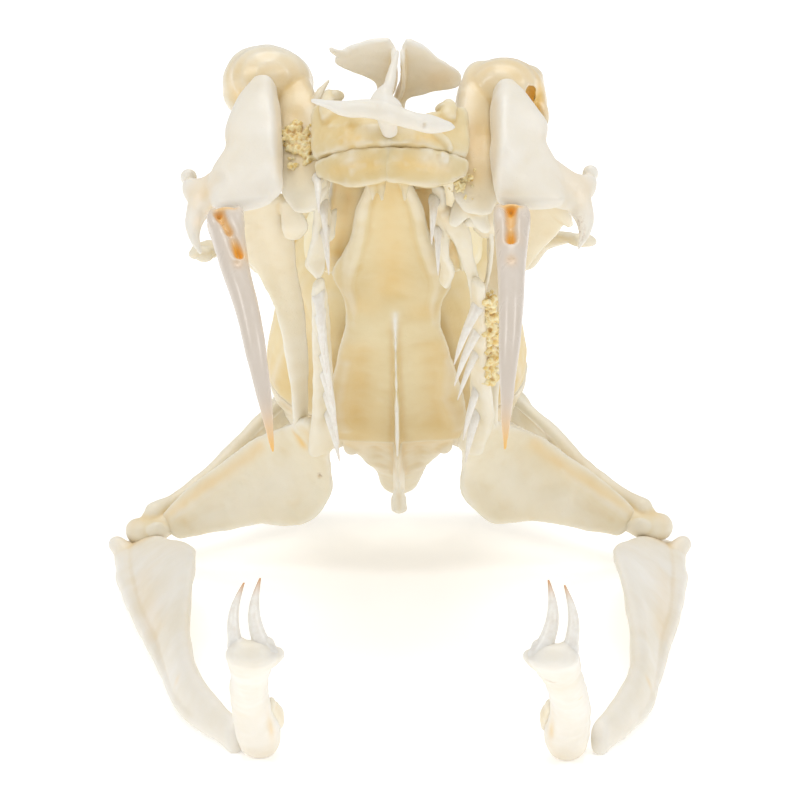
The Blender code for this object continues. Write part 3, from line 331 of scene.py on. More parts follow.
class Bone:
    """One bone: bodies are gathered, fused by a fine remesh, carved, tinted and given teeth."""

    def __init__(self, name, side=None, frame=None, shift=(0.0, 0.0, 0.0), forward=-1.0):
        self.node = f"{name}_{side}" if side else name
        self.frame = frame or cranium_frame()
        self.turn = np.array((SIGN[side] if side else 1.0, forward, 1.0))
        self.shift = np.array(shift)
        self.bodies = []
        self.cutters = []
        self.rows = []
        self.lumps = []
        self.tints = {"amber": 0.0, "stain": 0.0, "pale": 0.0}

    def place(self, points):
        """The bone's own coordinates as places in its frame."""
        return (np.array(points, float) + self.shift) * self.turn

    def rod(self, stations, up=(0, 0, 1), power=2.0, cut=False):
        """Stations (l, f, u, half width, half height); up is roughly the height's direction."""
        stations = np.array(stations, float)
        run = smooth_run(np.hstack([self.place(stations[:, :3]), stations[:, 3:]]), STATION_STEPS)
        centres = run[:, :3]
        sizes = np.maximum(run[:, 3:], THINNEST_ROD)
        along = unit(np.gradient(centres, axis=0))
        wides = unit(np.cross(along, np.array(up) * self.turn))
        highs = unit(np.cross(wides, along))
        body = shell(centres, wides * sizes[:, :1], highs * sizes[:, 1:], power)
        (self.cutters if cut else self.bodies).append(body)
        return self

    def blade(self, stations, power=2.4):
        """Stations (one edge, other edge, thickness): a plate between two edges."""
        rows = [np.hstack([self.place(a), self.place(b), t]) for a, b, t in stations]
        run = smooth_run(rows, STATION_STEPS)
        centres = (run[:, :3] + run[:, 3:6]) / 2
        wides = (run[:, :3] - run[:, 3:6]) / 2
        along = unit(np.gradient(centres, axis=0))
        highs = unit(np.cross(along, wides)) * np.maximum(run[:, 6:], THINNEST_BLADE) / 2
        self.bodies.append(shell(centres, wides, highs, power))
        return self

    def knob(self, centre, size, cut=False):
        """An ellipsoid of half sizes (l, f, u)."""
        l, f, u = centre
        a, b, c = size
        stations = [(l, f + b * t, u, a * math.sqrt(1 - t * t), c * math.sqrt(1 - t * t))
                    for t in (-0.9, -0.7, -0.4, 0.0, 0.4, 0.7, 0.9)]
        return self.rod(stations, cut=cut)

    def beads(self, path, spread, size, count, seed):
        """Small knobs strewn about a path, as where dried tissue or rough bone stands up."""
        draw = np.random.default_rng(seed)
        line = smooth_run(path, 12)
        for _ in range(count):
            spot = line[draw.integers(len(line))] + draw.normal(0, 1, 3) * spread
            r = size * draw.uniform(0.5, 1.2)
            self.knob(spot, (r, r * draw.uniform(0.7, 1.2), r * draw.uniform(0.7, 1.3)))
        return self

    def cut_away(self, **ranges):
        """Cut off a block, given by its ranges of l, f and u; one that isn't named has no end."""
        spans = [ranges.get(axis, (-FAR, FAR)) for axis in "lfu"]
        corners = np.array(list(itertools.product(*spans)), float) * self.turn
        faces = [(0, 1, 3, 2), (4, 6, 7, 5), (0, 4, 5, 1), (2, 3, 7, 6), (0, 2, 6, 4), (1, 5, 7, 3)]
        self.cutters.append(outward(corners, faces))
        return self

    def fuse(self, voxel, relax=3):
        """Make one closed surface of the gathered bodies, less the cutters."""
        self.obj = mesh_object(self.node, self.bodies)
        self.remesh(voxel, 0 if self.cutters else relax)
        if self.cutters:
            cutters = [mesh_object("cutter", [body]) for body in self.cutters]
            for cutter in cutters:
                cut = self.obj.modifiers.new("cut", "BOOLEAN")
                cut.object = cutter
                cut.operation = "DIFFERENCE"
                cut.solver = "MANIFOLD"
            bake_modifiers(self.obj)
            for cutter in cutters:
                drop_object(cutter)
            self.remesh(voxel, relax)
        self.mesh = self.obj.data
        self.points = read_points(self.mesh)
        return self

    def remesh(self, voxel, relax):
        fine = self.obj.modifiers.new("fine", "REMESH")
        fine.mode = "VOXEL"
        fine.voxel_size = voxel
        if relax:
            smooth = self.obj.modifiers.new("relax", "SMOOTH")
            smooth.factor = 0.5
            smooth.iterations = relax
        bake_modifiers(self.obj)

    def carve(self, height, radius, *path, facing=TO_VIEWER):
        """Raise, or with a negative height sink, the surface along a path, on the side that faces so."""
        write_points(self.mesh, self.points)
        normals = read_normals(self.mesh)
        aim = unit(np.array(facing, float)) * self.turn
        near = np.exp(-(path_distance(self.points, self.place(path)) / radius) ** 2)
        seen = np.clip(normals @ aim * 2 + 0.3, 0, 1)
        self.points = self.points + aim * (near * seen * height)[:, None]
        return self

    def weather(self, size, height, seed):
        """Uneven growth: a slow wave and a finer one over the whole surface."""
        write_points(self.mesh, self.points)
        normals = read_normals(self.mesh)
        slow = lattice_noise(self.points, size, seed)
        fine = lattice_noise(self.points, size / 2.3, seed + 7)
        self.points = self.points + normals * ((slow + 0.5 * fine) * height)[:, None]
        return self

    def tint(self, name, strength, radius, *path):
        """Colour along a path: amber, stain or pale, on top of what is there."""
        near = np.exp(-(path_distance(self.points, self.place(path)) / radius) ** 2)
        before = self.tints[name]
        self.tints[name] = np.clip(before + (1 - before) * strength * near, 0, 1)
        return self

    def teeth(self, roots_and_tips, girth, bow, finish, seed):
        """A row of recurved teeth, each from its root to its tip, which bow towards bow."""
        self.rows.append((roots_and_tips, girth, bow, finish, seed))
        return self

    def tissue(self, path, spread, size, count, seed):
        """Rough dried tissue left along a path of the bone."""
        lump = Bone(self.node + "_tissue", frame=self.frame)
        lump.turn = self.turn
        lump.beads(path, spread, size, count, seed).fuse(TISSUE, relax=1)
        lump.surface(FINISHES["tissue"])
        self.lumps.append(lump.obj)
        return self

    def surface(self, material):
        """Settle the shape, and store what the material reads."""
        write_points(self.mesh, self.points)
        normals = read_normals(self.mesh)
        # hollow: how far each point sinks below its smoothed neighbours; the finishes turn it into painted
        # shade in hollows and painted highlight on ridges.
        sunk = ((relaxed(self.mesh, self.points, HOLLOW_ROUNDS) - self.points) * normals).sum(1)
        write_attribute(self.mesh, "hollow", np.clip(sunk / HOLLOW_DEPTH, -1, 1))
        for name, values in self.tints.items():
            write_attribute(self.mesh, name, np.broadcast_to(values, len(self.points)))
        self.mesh.materials.clear()
        self.mesh.materials.append(material)

    def finish(self, look):
        """Add the teeth and tissue, bring all to the skull's place, and hand it to the frame."""
        self.surface(FINISHES[look])
        for roots_and_tips, girth, bow, enamel, seed in self.rows:
            join_objects(self.obj, tooth_row(self, roots_and_tips, girth, bow, FINISHES[enamel], seed))
        for lump in self.lumps:
            join_objects(self.obj, lump)
        self.mesh = self.obj.data
        self.mesh.transform(Matrix.Scale(MM, 4) @ self.frame)
        self.mesh.shade_smooth()
        self.obj.name = self.node + "_bone"
        self.mesh.name = self.obj.name
        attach(self.obj, "root")
        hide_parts(self.node)


def join_objects(base, other):
    """Make the other object part of the first."""
    with bpy.context.temp_override(active_object=base, object=base,
                                   selected_objects=[base, other],
                                   selected_editable_objects=[base, other]):
        bpy.ops.object.join()


def tooth_pattern():
    """A tooth of length 1 along +Z that bows towards +X, with its tip share kept as amber."""
    bow = 0.13
    rings = 14
    heights = np.linspace(-0.12, 1.0, rings)
    rise = np.clip(heights, 0, 1)
    centres = np.stack([bow * np.sin(np.pi * rise ** 0.9), np.zeros(rings), heights], axis=1)
    girth = 0.105 * np.clip(1.0 - rise, 0, 1) ** 0.62 + 0.035 * np.exp(-(heights / 0.09) ** 2)
    girth[-1] = 0.012
    sides = 14
    turns = np.linspace(0, 2 * math.pi, sides, endpoint=False)
    circle = np.stack([np.cos(turns), np.sin(turns), np.zeros(sides)], axis=1)
    points = np.vstack([centres[i] + circle * girth[i] for i in range(rings)]
                       + [centres[:1], centres[-1:] + (0, 0, 0.01)])
    obj = mesh_object("tooth pattern", [outward(points, ring_faces(rings, sides))])
    share = np.clip((points[:, 2] - 0.7) / 0.3, 0, 1)
    write_attribute(obj.data, "amber", share ** 1.5)
    for name in ("pale", "stain", "hollow"):
        write_attribute(obj.data, name, np.zeros(len(points)))
    obj.hide_render = True
    return obj


def tooth_tree():
    """Geometry Nodes: one tooth on each root, turned and stretched by the root's own attributes."""
    tree = bpy.data.node_groups.new("tooth row", "GeometryNodeTree")
    for name, kind in (("Geometry", "Geometry"), ("Tooth", "Object"), ("Girth", "Float"),
                       ("Unevenness", "Float"), ("Seed", "Int"), ("Enamel", "Material")):
        tree.interface.new_socket(name, in_out="INPUT", socket_type="NodeSocket" + kind)
    tree.interface.new_socket("Geometry", in_out="OUTPUT", socket_type="NodeSocketGeometry")
    nodes = NodeMaker(tree)
    make = nodes.node
    inputs = tree.nodes.new("NodeGroupInput").outputs
    given = {socket.name: Value(nodes, socket) for socket in inputs if socket.name}
    tooth = make("GeometryNodeObjectInfo", {}, {"Object": given["Tooth"]}, output="Geometry")
    turn = make("GeometryNodeInputNamedAttribute", {"data_type": "FLOAT_VECTOR"}, {"Name": "turn"},
                output="Attribute")
    length = make("GeometryNodeInputNamedAttribute", {"data_type": "FLOAT"}, {"Name": "length"},
                  output="Attribute")
    rotation = make("FunctionNodeEulerToRotation", {}, {"Euler": turn})
    girth = make("FunctionNodeRandomValue", {"data_type": "FLOAT"},
                 {"Seed": given["Seed"], 2: given["Girth"] - given["Unevenness"],
                  3: given["Girth"] + given["Unevenness"]}, output=1)
    wide = length * girth
    size = make("ShaderNodeCombineXYZ", {}, {"X": wide, "Y": wide, "Z": length})
    planted = make("GeometryNodeInstanceOnPoints", {}, {
        "Points": given["Geometry"], "Instance": tooth, "Rotation": rotation, "Scale": size})
    real = make("GeometryNodeRealizeInstances", {}, {"Geometry": planted})
    coated = make("GeometryNodeSetMaterial", {}, {"Geometry": real, "Material": given["Enamel"]})
    nodes.feed(tree.nodes.new("NodeGroupOutput").inputs["Geometry"], coated)
    return tree


def tooth_row(bone, roots_and_tips, girth, bow, enamel, seed):
    """The teeth of one bone as one mesh, in the bone's own coordinates."""
    roots = bone.place([pair[0] for pair in roots_and_tips])
    tips = bone.place([pair[1] for pair in roots_and_tips])
    front = np.array(bow, float) * bone.turn
    turns = []
    for root, tip in zip(roots, tips):
        z = Vector(unit(tip - root))
        x = Vector(front)
        x = (x - z * x.dot(z)).normalized()
        y = z.cross(x)
        turns.append(Matrix((x, y, z)).transposed().to_euler("XYZ"))
    mesh = bpy.data.meshes.new("row")
    mesh.from_pydata([tuple(p) for p in roots], [], [])
    mesh.attributes.new("turn", "FLOAT_VECTOR", "POINT").data.foreach_set(
        "vector", np.array(turns, np.float32).ravel())
    write_attribute(mesh, "length", np.linalg.norm(tips - roots, axis=1))
    row = bpy.data.objects.new("row", mesh)
    bpy.context.scene.collection.objects.link(row)
    planted = row.modifiers.new("teeth", "NODES")
    planted.node_group = TOOTH_TREE
    values = {"Tooth": TOOTH_PATTERN, "Girth": girth, "Unevenness": girth * 0.1, "Seed": seed,
              "Enamel": enamel}
    for item in TOOTH_TREE.interface.items_tree:
        if item.in_out == "INPUT" and item.name in values:
            planted[item.identifier] = values[item.name]
    bake_modifiers(row)
    return row


class Value:
    """One output of a node, with the operators that the trees use."""

    def __init__(self, maker, socket):
        self.maker = maker
        self.socket = socket

    def maths(self, operation, first, second):
        return self.maker.node("ShaderNodeMath", {"operation": operation}, {0: first, 1: second})

    def __add__(self, other):
        return self.maths("ADD", self, other)

    def __radd__(self, other):
        return self.maths("ADD", other, self)

    def __sub__(self, other):
        return self.maths("SUBTRACT", self, other)

    def __rsub__(self, other):
        return self.maths("SUBTRACT", other, self)

    def __mul__(self, other):
        return self.maths("MULTIPLY", self, other)

    def __rmul__(self, other):
        return self.maths("MULTIPLY", other, self)

    def __truediv__(self, other):
        return self.maths("DIVIDE", self, other)

    def limited(self):
        """The value held between 0 and 1."""
        return self.maker.node("ShaderNodeClamp", {}, {"Value": self})

    def above(self, edge, width):
        """A soft step: 0 below the edge, 1 past edge plus width."""
        return ((self - edge) / width).limited()


class NodeMaker:
    """Builds a node tree from expressions."""

    def __init__(self, tree):
        self.tree = tree

    def node(self, kind, settings, sockets, output=0):
        """Any node: its settings are set first, then the values or links of its sockets."""
        made = self.tree.nodes.new(kind)
        for key, value in settings.items():
            setattr(made, key, value)
        for key, value in sockets.items():
            self.feed(made.inputs[key], value)
        return Value(self, made.outputs[output])

    def feed(self, socket, value):
        """Link a value to a socket, or set the socket to a plain number, colour or name."""
        if isinstance(value, Value):
            self.tree.links.new(value.socket, socket)
        else:
            socket.default_value = value


class Finish(NodeMaker):
    """Builds one material from expressions."""

    def __init__(self, name, roughness, gloss, glow, glow_tint):
        self.material = bpy.data.materials.new(name)
        self.material.use_nodes = True
        super().__init__(self.material.node_tree)
        self.shader = self.tree.nodes["Principled BSDF"]
        self.shader.inputs["Subsurface Weight"].default_value = glow
        self.shader.inputs["Subsurface Radius"].default_value = glow_tint
        self.shader.inputs["Subsurface Scale"].default_value = 0.45 * MM
        self.shader.inputs["Coat Weight"].default_value = gloss
        self.shader.inputs["Coat Roughness"].default_value = 0.22
        self.shader.inputs["Roughness"].default_value = roughness
        self.place = self.node("ShaderNodeTexCoord", {}, {}, output="Object")

    def noise(self, size_mm, detail=3.0, stretch=None, distortion=0.0):
        """Noise of a grain size; stretch is a turn and a scale of its coordinates."""
        place = self.place
        if stretch:
            place = self.node("ShaderNodeMapping", {}, {"Vector": place, "Rotation": stretch[0],
                                                        "Scale": stretch[1]})
        return self.node("ShaderNodeTexNoise", {}, {"Vector": place, "Scale": 1 / (size_mm * MM),
                                                    "Detail": detail, "Distortion": distortion})

    def attribute(self, name):
        """A tint or hollow that the piece's own surface holds."""
        return self.node("ShaderNodeAttribute", {"attribute_name": name}, {}, output="Fac")

    def blend(self, share, first, second):
        """A colour between two colours, each an RGB triple or a value."""
        colours = [c if isinstance(c, Value) else (*c, 1.0) for c in (first, second)]
        return self.node("ShaderNodeMix", {"data_type": "RGBA"},
                         {0: share, 6: colours[0], 7: colours[1]}, output=2)

    def bump(self, height, strength, depth_mm):
        """Fine relief that geometry leaves out."""
        return self.node("ShaderNodeBump", {},
                         {"Height": height, "Strength": strength, "Distance": depth_mm * MM})

    def use(self, **values):
        """Feed the shader's colour, roughness and normal, and give the finished material."""
        names = {"colour": "Base Color", "roughness": "Roughness", "normal": "Normal"}
        for key, value in values.items():
            self.feed(self.shader.inputs[names[key]], value)
        return self.material


def linear(red, green, blue):
    """An sRGB colour of 0 to 255, above its darkest tones, as the shader's linear numbers."""
    return tuple(((c / 255 + 0.055) / 1.055) ** 2.4 for c in (red, green, blue))


# Colours of the finishes, as sRGB: the light tone, the deep tone that random clouds and the painted shade
# in hollows lean to, amber where bone thins or is stained with fat, brown of dried tissue, and the chalk
# white of pale patches and of the painted highlight on ridges.
CHALK_AND_HIGHLIGHT = linear(238, 236, 230)
AMBER = linear(238, 194, 96)
BROWN = linear(138, 92, 44)
TONES = {
    "white": (linear(238, 233, 223), linear(228, 218, 195)),
    "cream": (linear(236, 228, 206), linear(222, 206, 168)),
    "palate": (linear(230, 216, 176), linear(214, 190, 134)),
    "amber": (linear(238, 222, 178), linear(224, 198, 136)),
    # The leaf and nasal tones are lighter copies of the cream and white tones: painted light for bones that
    # sit in shade.
    "leaf": (linear(251, 240, 206), linear(245, 225, 172)),
    "nasal": (linear(246, 239, 225), linear(237, 226, 203)),
}


def bone_finish(name, tone, roughness=0.42, gloss=0.12, pores=0.5, glow=0.16):
    """Dry bone: cream clouds, amber tints, painted shade in hollows, painted chalky highlight on ridges,
    brown specks, fine pores.
    """
    f = Finish(name, roughness, gloss, glow, (1.0, 0.9, 0.7))
    light, deep = TONES[tone]
    clouds = f.noise(4.5, detail=2.0, distortion=0.4)
    mottle = f.noise(1.1, detail=4.0)
    grain = f.noise(0.22, detail=5.0)
    hollow = f.attribute("hollow")
    amber = f.attribute("amber")
    pale = f.attribute("pale")
    stain = f.attribute("stain")
    # The hollow measure paints light: sunk parts get painted shade, raised ridges a painted highlight.
    sunk = hollow.above(0.1, 0.9)
    raised = (0 - hollow).above(0.15, 0.85)
    # Random clouds and mottle of deeper tone, plus painted shade in the hollows.
    deep_tone_and_shade = (clouds.above(0.35, 0.35) * 0.6 + mottle.above(0.4, 0.4) * 0.25 + sunk * 0.5).limited()
    colour = f.blend(deep_tone_and_shade, light, deep)
    # Amber tints, plus a little painted warm shade in the hollows.
    amber_and_shade = (amber * (0.75 + mottle * 0.5) + sunk * 0.10).limited()
    colour = f.blend(amber_and_shade, colour, AMBER)
    # Ridges lighter: a painted highlight; pale tints add chalky patches.
    colour = f.blend((raised * 0.35 + pale * 0.8).limited(), colour, CHALK_AND_HIGHLIGHT)
    specks = f.noise(0.16, detail=2.0).above(0.5, 0.1)
    colour = f.blend((stain * (0.25 + specks * 0.75)).limited(), colour, BROWN)
    pits = f.noise(0.13, detail=2.0).above(0.62, 0.14)
    relief = f.bump(mottle * 0.6 + grain * 0.3 - pits * 0.35, pores, 0.06)
    sheen = (roughness - 0.08 + mottle * 0.16 + stain * 0.25).limited()
    return f.use(colour=colour, roughness=sheen, normal=relief)


def fang_finish():
    """Glossy ivory with fine lengthwise lines, an amber tip and an amber canal."""
    f = Finish("fang ivory", 0.3, 0.45, 0.06, (1.0, 0.9, 0.8))
    along = (math.radians(NOSE_UP_DEG), 0.0, 0.0)
    streaks = f.noise(0.35, detail=3.0, stretch=(along, (1.0, 1.0, 0.07)))
    lines = f.noise(0.12, detail=2.0, stretch=(along, (1.0, 1.0, 0.04)))
    clouds = f.noise(3.0, detail=2.0)
    amber = f.attribute("amber")
    pale = f.attribute("pale")
    colour = f.blend((clouds * 0.7 + streaks * 0.5 - 0.2).limited(), linear(220, 210, 199),
                     linear(205, 192, 176))
    colour = f.blend((amber * (0.8 + streaks * 0.4)).limited(), colour, linear(246, 186, 70))
    colour = f.blend((pale * 0.8).limited(), colour, CHALK_AND_HIGHLIGHT)
    colour = f.blend((f.attribute("stain") * f.noise(0.2).above(0.45, 0.2)).limited(), colour, BROWN)
    relief = f.bump(streaks + lines * 0.5, 0.25, 0.03)
    return f.use(colour=colour, roughness=(0.22 + streaks * 0.16).limited(), normal=relief)


def tooth_finish(name, tip_share):
    """Small teeth: glassy white with, on the lower jaw, amber tips."""
    f = Finish(name, 0.3, 0.35, 0.15, (1.0, 0.92, 0.8))
    streaks = f.noise(0.3, detail=3.0)
    tip = f.attribute("amber")
    colour = f.blend(streaks.above(0.35, 0.4), linear(238, 235, 228), linear(228, 222, 211))
    colour = f.blend((tip * tip_share).limited(), colour, linear(196, 138, 72))
    relief = f.bump(streaks, 0.2, 0.02)
    return f.use(colour=colour, roughness=(0.24 + streaks * 0.14).limited(), normal=relief)


def tissue_finish():
    """Dried tissue: yellow, rough and waxy, with painted shade in its hollows."""
    f = Finish("dried tissue", 0.38, 0.35, 0.15, (1.0, 0.85, 0.5))
    lumps = f.noise(0.35, detail=4.0, distortion=0.8)
    fine = f.noise(0.09, detail=3.0)
    colour = f.blend(lumps.above(0.38, 0.3), linear(246, 234, 190), linear(230, 194, 110))
    # Darker brown where the surface is sunk: painted shade.
    sunk = f.attribute("hollow").above(0.0, 0.9)
    colour = f.blend((sunk * 0.6).limited(), colour, linear(196, 140, 60))
    relief = f.bump(lumps + fine * 0.5, 0.9, 0.1)
    return f.use(colour=colour, roughness=(0.25 + fine * 0.3).limited(), normal=relief)


def braincase(bone):
    """The box of the brain, from the orbits to the foramen magnum, before its bones are parted."""
    sections = [
        (-1.2, 3.2, 4.4, 5.9),
        (0.3, 4.2, 3.5, 6.4),
        (2.5, 5.5, 2.3, 7.1),
        (5.0, 6.5, 1.0, 7.5),
        (7.5, 7.0, 0.1, 7.8),
        (10.0, 7.0, -0.1, 7.9),
        (13.0, 6.6, -0.1, 7.7),
        (16.5, 6.2, -0.1, 7.4),
        (19.0, 5.4, 0.0, 7.1),
        (20.3, 4.6, 0.3, 6.9),
    ]
    stations = [(0.0, f, (low + top) / 2, half, (top - low) / 2) for f, half, low, top in sections]
    return bone.rod(stations, power=2.3)


def make_braincase_floor():
    """The basisphenoid: a long ridged tongue that narrows towards the snout, with a keel below."""
    floor = Bone("basisphenoid")
    floor.blade([((0.5, 33.0, -0.5), (-0.5, 33.0, -0.5), 0.55),
                 ((0.95, 31.6, -0.6), (-0.95, 31.6, -0.6), 0.6),
                 ((1.5, 30.3, -0.7), (-1.5, 30.3, -0.7), 0.65),
                 ((1.9, 28.6, -0.75), (-1.9, 28.6, -0.75), 0.65),
                 ((2.15, 27.2, -0.8), (-2.15, 27.2, -0.8), 0.65),
                 ((2.6, 25.4, -0.8), (-2.9, 25.4, -0.8), 0.65),
                 ((3.05, 24.1, -0.85), (-3.15, 24.3, -0.85), 0.65),
                 ((3.1, 23.1, -0.85), (-2.8, 22.8, -0.85), 0.65),
                 ((2.6, 21.4, -0.85), (-2.55, 21.5, -0.85), 0.7),
                 ((2.5, 19.6, -0.85), (-2.55, 19.6, -0.85), 0.75),
                 ((2.85, 17.4, -0.82), (-2.9, 17.4, -0.82), 0.8),
                 ((3.3, 14.4, -0.8), (-3.4, 14.4, -0.8), 0.85),
                 ((3.8, 11.0, -0.7), (-3.9, 11.0, -0.7), 0.9),
                 ((3.7, 8.1, -0.6), (-3.7, 8.1, -0.6), 0.9)])
    for way in (-1, 1):
        floor.rod([(0.8 * way, 32.4, -0.75, 0.3, 0.3), (1.35 * way, 30.2, -0.85, 0.42, 0.36),
                   (1.6 * way, 28.0, -0.9, 0.45, 0.38), (2.1 * way, 25.6, -0.95, 0.5, 0.36),
                   (2.3 * way, 23.6, -0.95, 0.42, 0.3), (2.0 * way, 21.4, -0.95, 0.3, 0.25),
                   (2.1 * way, 19.0, -0.9, 0.2, 0.2)])
    floor.blade([((0.12, 21.6, -0.6), (0.12, 21.6, -1.2), 0.14),
                 ((0.08, 18.0, -0.6), (0.08, 18.0, -1.62), 0.2),
                 ((0.04, 12.0, -0.6), (0.04, 12.0, -1.95), 0.26), ((0, 8.1, -0.6), (0, 8.1, -2.1), 0.34)])
    floor.cut_away(f=(-FAR, BACK_SEAM + SEAM))
    floor.fuse(MEDIUM)
    floor.carve(-0.3, 1.1, (0, 32.0, -1), (0, 26.0, -1.1), (0, 22.6, -1.1), facing=UNDER)
    floor.carve(-0.24, 0.9, (1.6, 17.5, -1.1), (1.9, 13.0, -1.1), (2.0, 10.0, -1.1), facing=UNDER)
    floor.carve(-0.24, 0.9, (-1.6, 17.0, -1.1), (-1.8, 13.5, -1.1), (-2.1, 10.5, -1.1), facing=UNDER)
    floor.carve(0.16, 0.5, (2.9, 16.0, -1.1), (2.6, 12.5, -1.1), (3.3, 9.4, -1.1), facing=UNDER)
    floor.carve(0.16, 0.5, (-2.6, 16.0, -1.1), (-3.1, 12.0, -1.1), (-2.8, 9.4, -1.1), facing=UNDER)
    floor.weather(1.7, 0.06, 11)
    floor.tint("amber", 0.3, 1.0, (0, 31.5, -1), (0, 23.0, -1))
    floor.tint("amber", 0.25, 1.3, (-2.2, 17.0, -1), (-2.4, 9.0, -1))
    floor.tint("amber", 0.25, 1.2, (2.4, 17.0, -1), (2.5, 9.0, -1))
    floor.tint("amber", 0.2, 0.8, (-1.5, 21.6, -1))
    floor.tint("amber", 0.2, 0.9, (1.6, 21.0, -1))
    floor.tint("pale", 0.8, 0.22, (0.12, 21.0, -1.3), (0.05, 14.0, -1.9), (0, 8.4, -2.1))
    floor.finish("palate")


def make_parietal():
    """The amber box of the braincase, with its crests and the corners behind the orbits."""
    roof = braincase(Bone("parietal"))
    roof.blade([((0, 19.0, 7.6), (0, 19.0, 6.5), 0.9), ((0, 13.0, 8.3), (0, 13.0, 6.5), 0.6),
                ((0, 8.1, 8.3), (0, 8.1, 6.5), 0.5)])
    for way in (-1, 1):
        roof.rod([(4.2 * way, 19.3, 6.2, 1.1, 0.7), (5.6 * way, 18.2, 5.75, 1.15, 0.7),
                  (6.6 * way, 16.4, 5.2, 0.95, 0.75)])
        roof.rod([(4.6 * way, 19.0, 6.65, 0.5, 0.4), (4.4 * way, 15.5, 7.0, 0.5, 0.4),
                  (3.0 * way, 12.0, 7.5, 0.5, 0.35), (0.8 * way, 9.6, 7.85, 0.5, 0.3)])
    roof.cut_away(f=(-FAR, BACK_SEAM + SEAM))
    roof.fuse(BROAD)
    for way in (-1, 1):
        roof.carve(-0.5, 1.5, (6.4 * way, 14.0, 3.4), facing=(way, 0.2, 0))
        roof.carve(-0.3, 0.8, (5.2 * way, 17.6, 1.6), (6.0 * way, 15.4, 1.2), facing=(way, 0.3, -0.5))
        roof.carve(0.35, 0.8, (6.5 * way, 12.6, 1.4), (6.8 * way, 9.6, 1.9), facing=(way, 0.0, -0.5))
        roof.carve(-0.35, 0.9, (2.6 * way, 15.5, 7.6), (1.4 * way, 11.0, 7.9), facing=ROOF)
        roof.tint("amber", 0.22, 2.6, (6.0 * way, 15.0, 1.0), (6.4 * way, 10.0, 1.0))
    roof.carve(-0.4, 1.0, (-5.7, 16.9, 1.2), facing=(-1, 0.3, -0.3))
    roof.weather(2.2, 0.07, 21)
    roof.tint("amber", 0.2, 3.0, (0, 16.0, 0.0), (0, 9.0, 0.0))
    roof.tint("pale", 0.3, 2.2, (0, 18.0, 8.0), (0, 10.0, 8.0))
    roof.finish("amber")


def make_occiput():
    """The basioccipital with its keel and condyle, and the supraoccipital over the brain."""
    under = Bone("basioccipital")
    under.rod([(0, 8.1, 0.0, 3.6, 0.9), (0, 6.6, 0.3, 3.2, 0.9), (0, 5.2, 0.6, 2.7, 0.9),
               (0, 4.0, 0.9, 2.15, 0.9), (0, 2.4, 1.5, 1.65, 0.9), (0, 0.8, 1.9, 1.35, 0.85),
               (0, -0.9, 2.2, 1.1, 0.8)])
    for way in (1, -1):
        under.knob((2.5 * way, 6.2, 0.0), (0.5, 0.7, 0.45))
    under.blade([((0, 8.2, 0.2), (0, 8.2, -2.05), 0.34), ((0, 5.6, 0.8), (0, 5.8, -2.15), 0.5),
                 ((0, 3.4, 1.2), (0, 3.4, -2.0), 0.62), ((0, 2.2, 1.2), (0, 1.8, -1.5), 0.5)])
    under.rod([(0, 4.6, -1.9, 0.35, 0.2), (0, 3.0, -1.9, 0.46, 0.3), (0, 1.9, -1.4, 0.4, 0.3)])
    under.cut_away(f=(BACK_SEAM - SEAM, FAR))
    under.fuse(MEDIUM)
    under.carve(-0.2, 0.16, (0.02, 5.6, -2.2), (0.02, 2.4, -2.1), facing=TO_VIEWER)
    for way in (1, -1):
        under.carve(-0.25, 0.5, (1.2 * way, 6.6, -0.5), (1.0 * way, 4.2, 0.2), facing=(0, 0.3, -1))
    under.weather(1.1, 0.06, 31)
    under.tint("amber", 0.25, 1.5, (-2.4, 7.4, 0), (2.4, 7.4, 0))
    under.tint("amber", 0.25, 1.2, (0, 3.5, 1.0))
    under.tint("pale", 0.4, 0.5, (0, 5.6, -2.1), (0, 2.0, -1.6))
    under.finish("cream")

    hood = braincase(Bone("supraoccipital"))
    hood.blade([((0, 7.4, 8.3), (0, 7.4, 6.4), 0.6), ((0, 3.0, 7.65), (0, 3.0, 6.2), 0.6),
                ((0, 1.0, 6.7), (0, 1.0, 5.8), 0.6)])
    hood.cut_away(f=(BACK_SEAM - SEAM, FAR))
    hood.cut_away(l=(ROOF_SIDE - SEAM, FAR))
    hood.cut_away(l=(-FAR, -ROOF_SIDE + SEAM))
    hood.cut_away(u=(-FAR, ROOF_SEAM + SEAM))
    hood.fuse(MEDIUM)
    hood.weather(1.3, 0.05, 41)
    hood.finish("cream")


def make_otic(side):
    """The bones round one ear and the foramen magnum, as one."""
    ear = braincase(Bone("otic", side))
    ear.knob((4.4, 4.6, 3.9), (2.0, 3.2, 2.0))
    ear.rod([(3.0, 7.6, 0.9, 0.9, 0.8), (3.4, 6.0, 0.8, 0.9, 0.7), (4.2, 4.4, 1.9, 0.8, 0.7)])
    ear.rod([(3.2, 1.0, 5.0, 1.0, 0.8), (4.3, -0.8, 5.2, 0.8, 0.6), (4.9, -1.8, 5.3, 0.5, 0.4)])
    ear.rod([(6.1, 6.8, 5.4, 0.4, 0.35), (5.9, 3.0, 5.2, 0.4, 0.35), (5.0, 0.2, 5.2, 0.35, 0.3)])
    ear.rod([(0, -4.0, 4.1, 1.3, 1.0), (0, 0.6, 4.1, 1.2, 0.95), (0, 1.6, 4.1, 0.6, 0.5)], cut=True)
    ear.knob((6.3, 3.6, 3.4), (0.8, 0.7, 0.6), cut=True)
    ear.cut_away(f=(BACK_SEAM - SEAM, FAR))
    ear.cut_away(l=(-FAR, ROOF_SIDE + SEAM), u=(ROOF_SEAM - SEAM, FAR))
    ear.cut_away(l=(-FAR, SEAM))
    ear.fuse(BLOCK)
    ear.carve(-0.3, 0.7, (5.6, 6.6, 2.2), (5.6, 4.4, 2.0), facing=(1, 0, -0.5))
    ear.carve(-0.16, 0.4, (4.6, 2.2, 3.0), facing=(0.6, -0.8, -0.2))
    ear.weather(1.5, 0.06, 51 + len(side))
    ear.tint("amber", 0.4, 2.0, (4.6, 7.0, 1.2))
    ear.finish("cream")


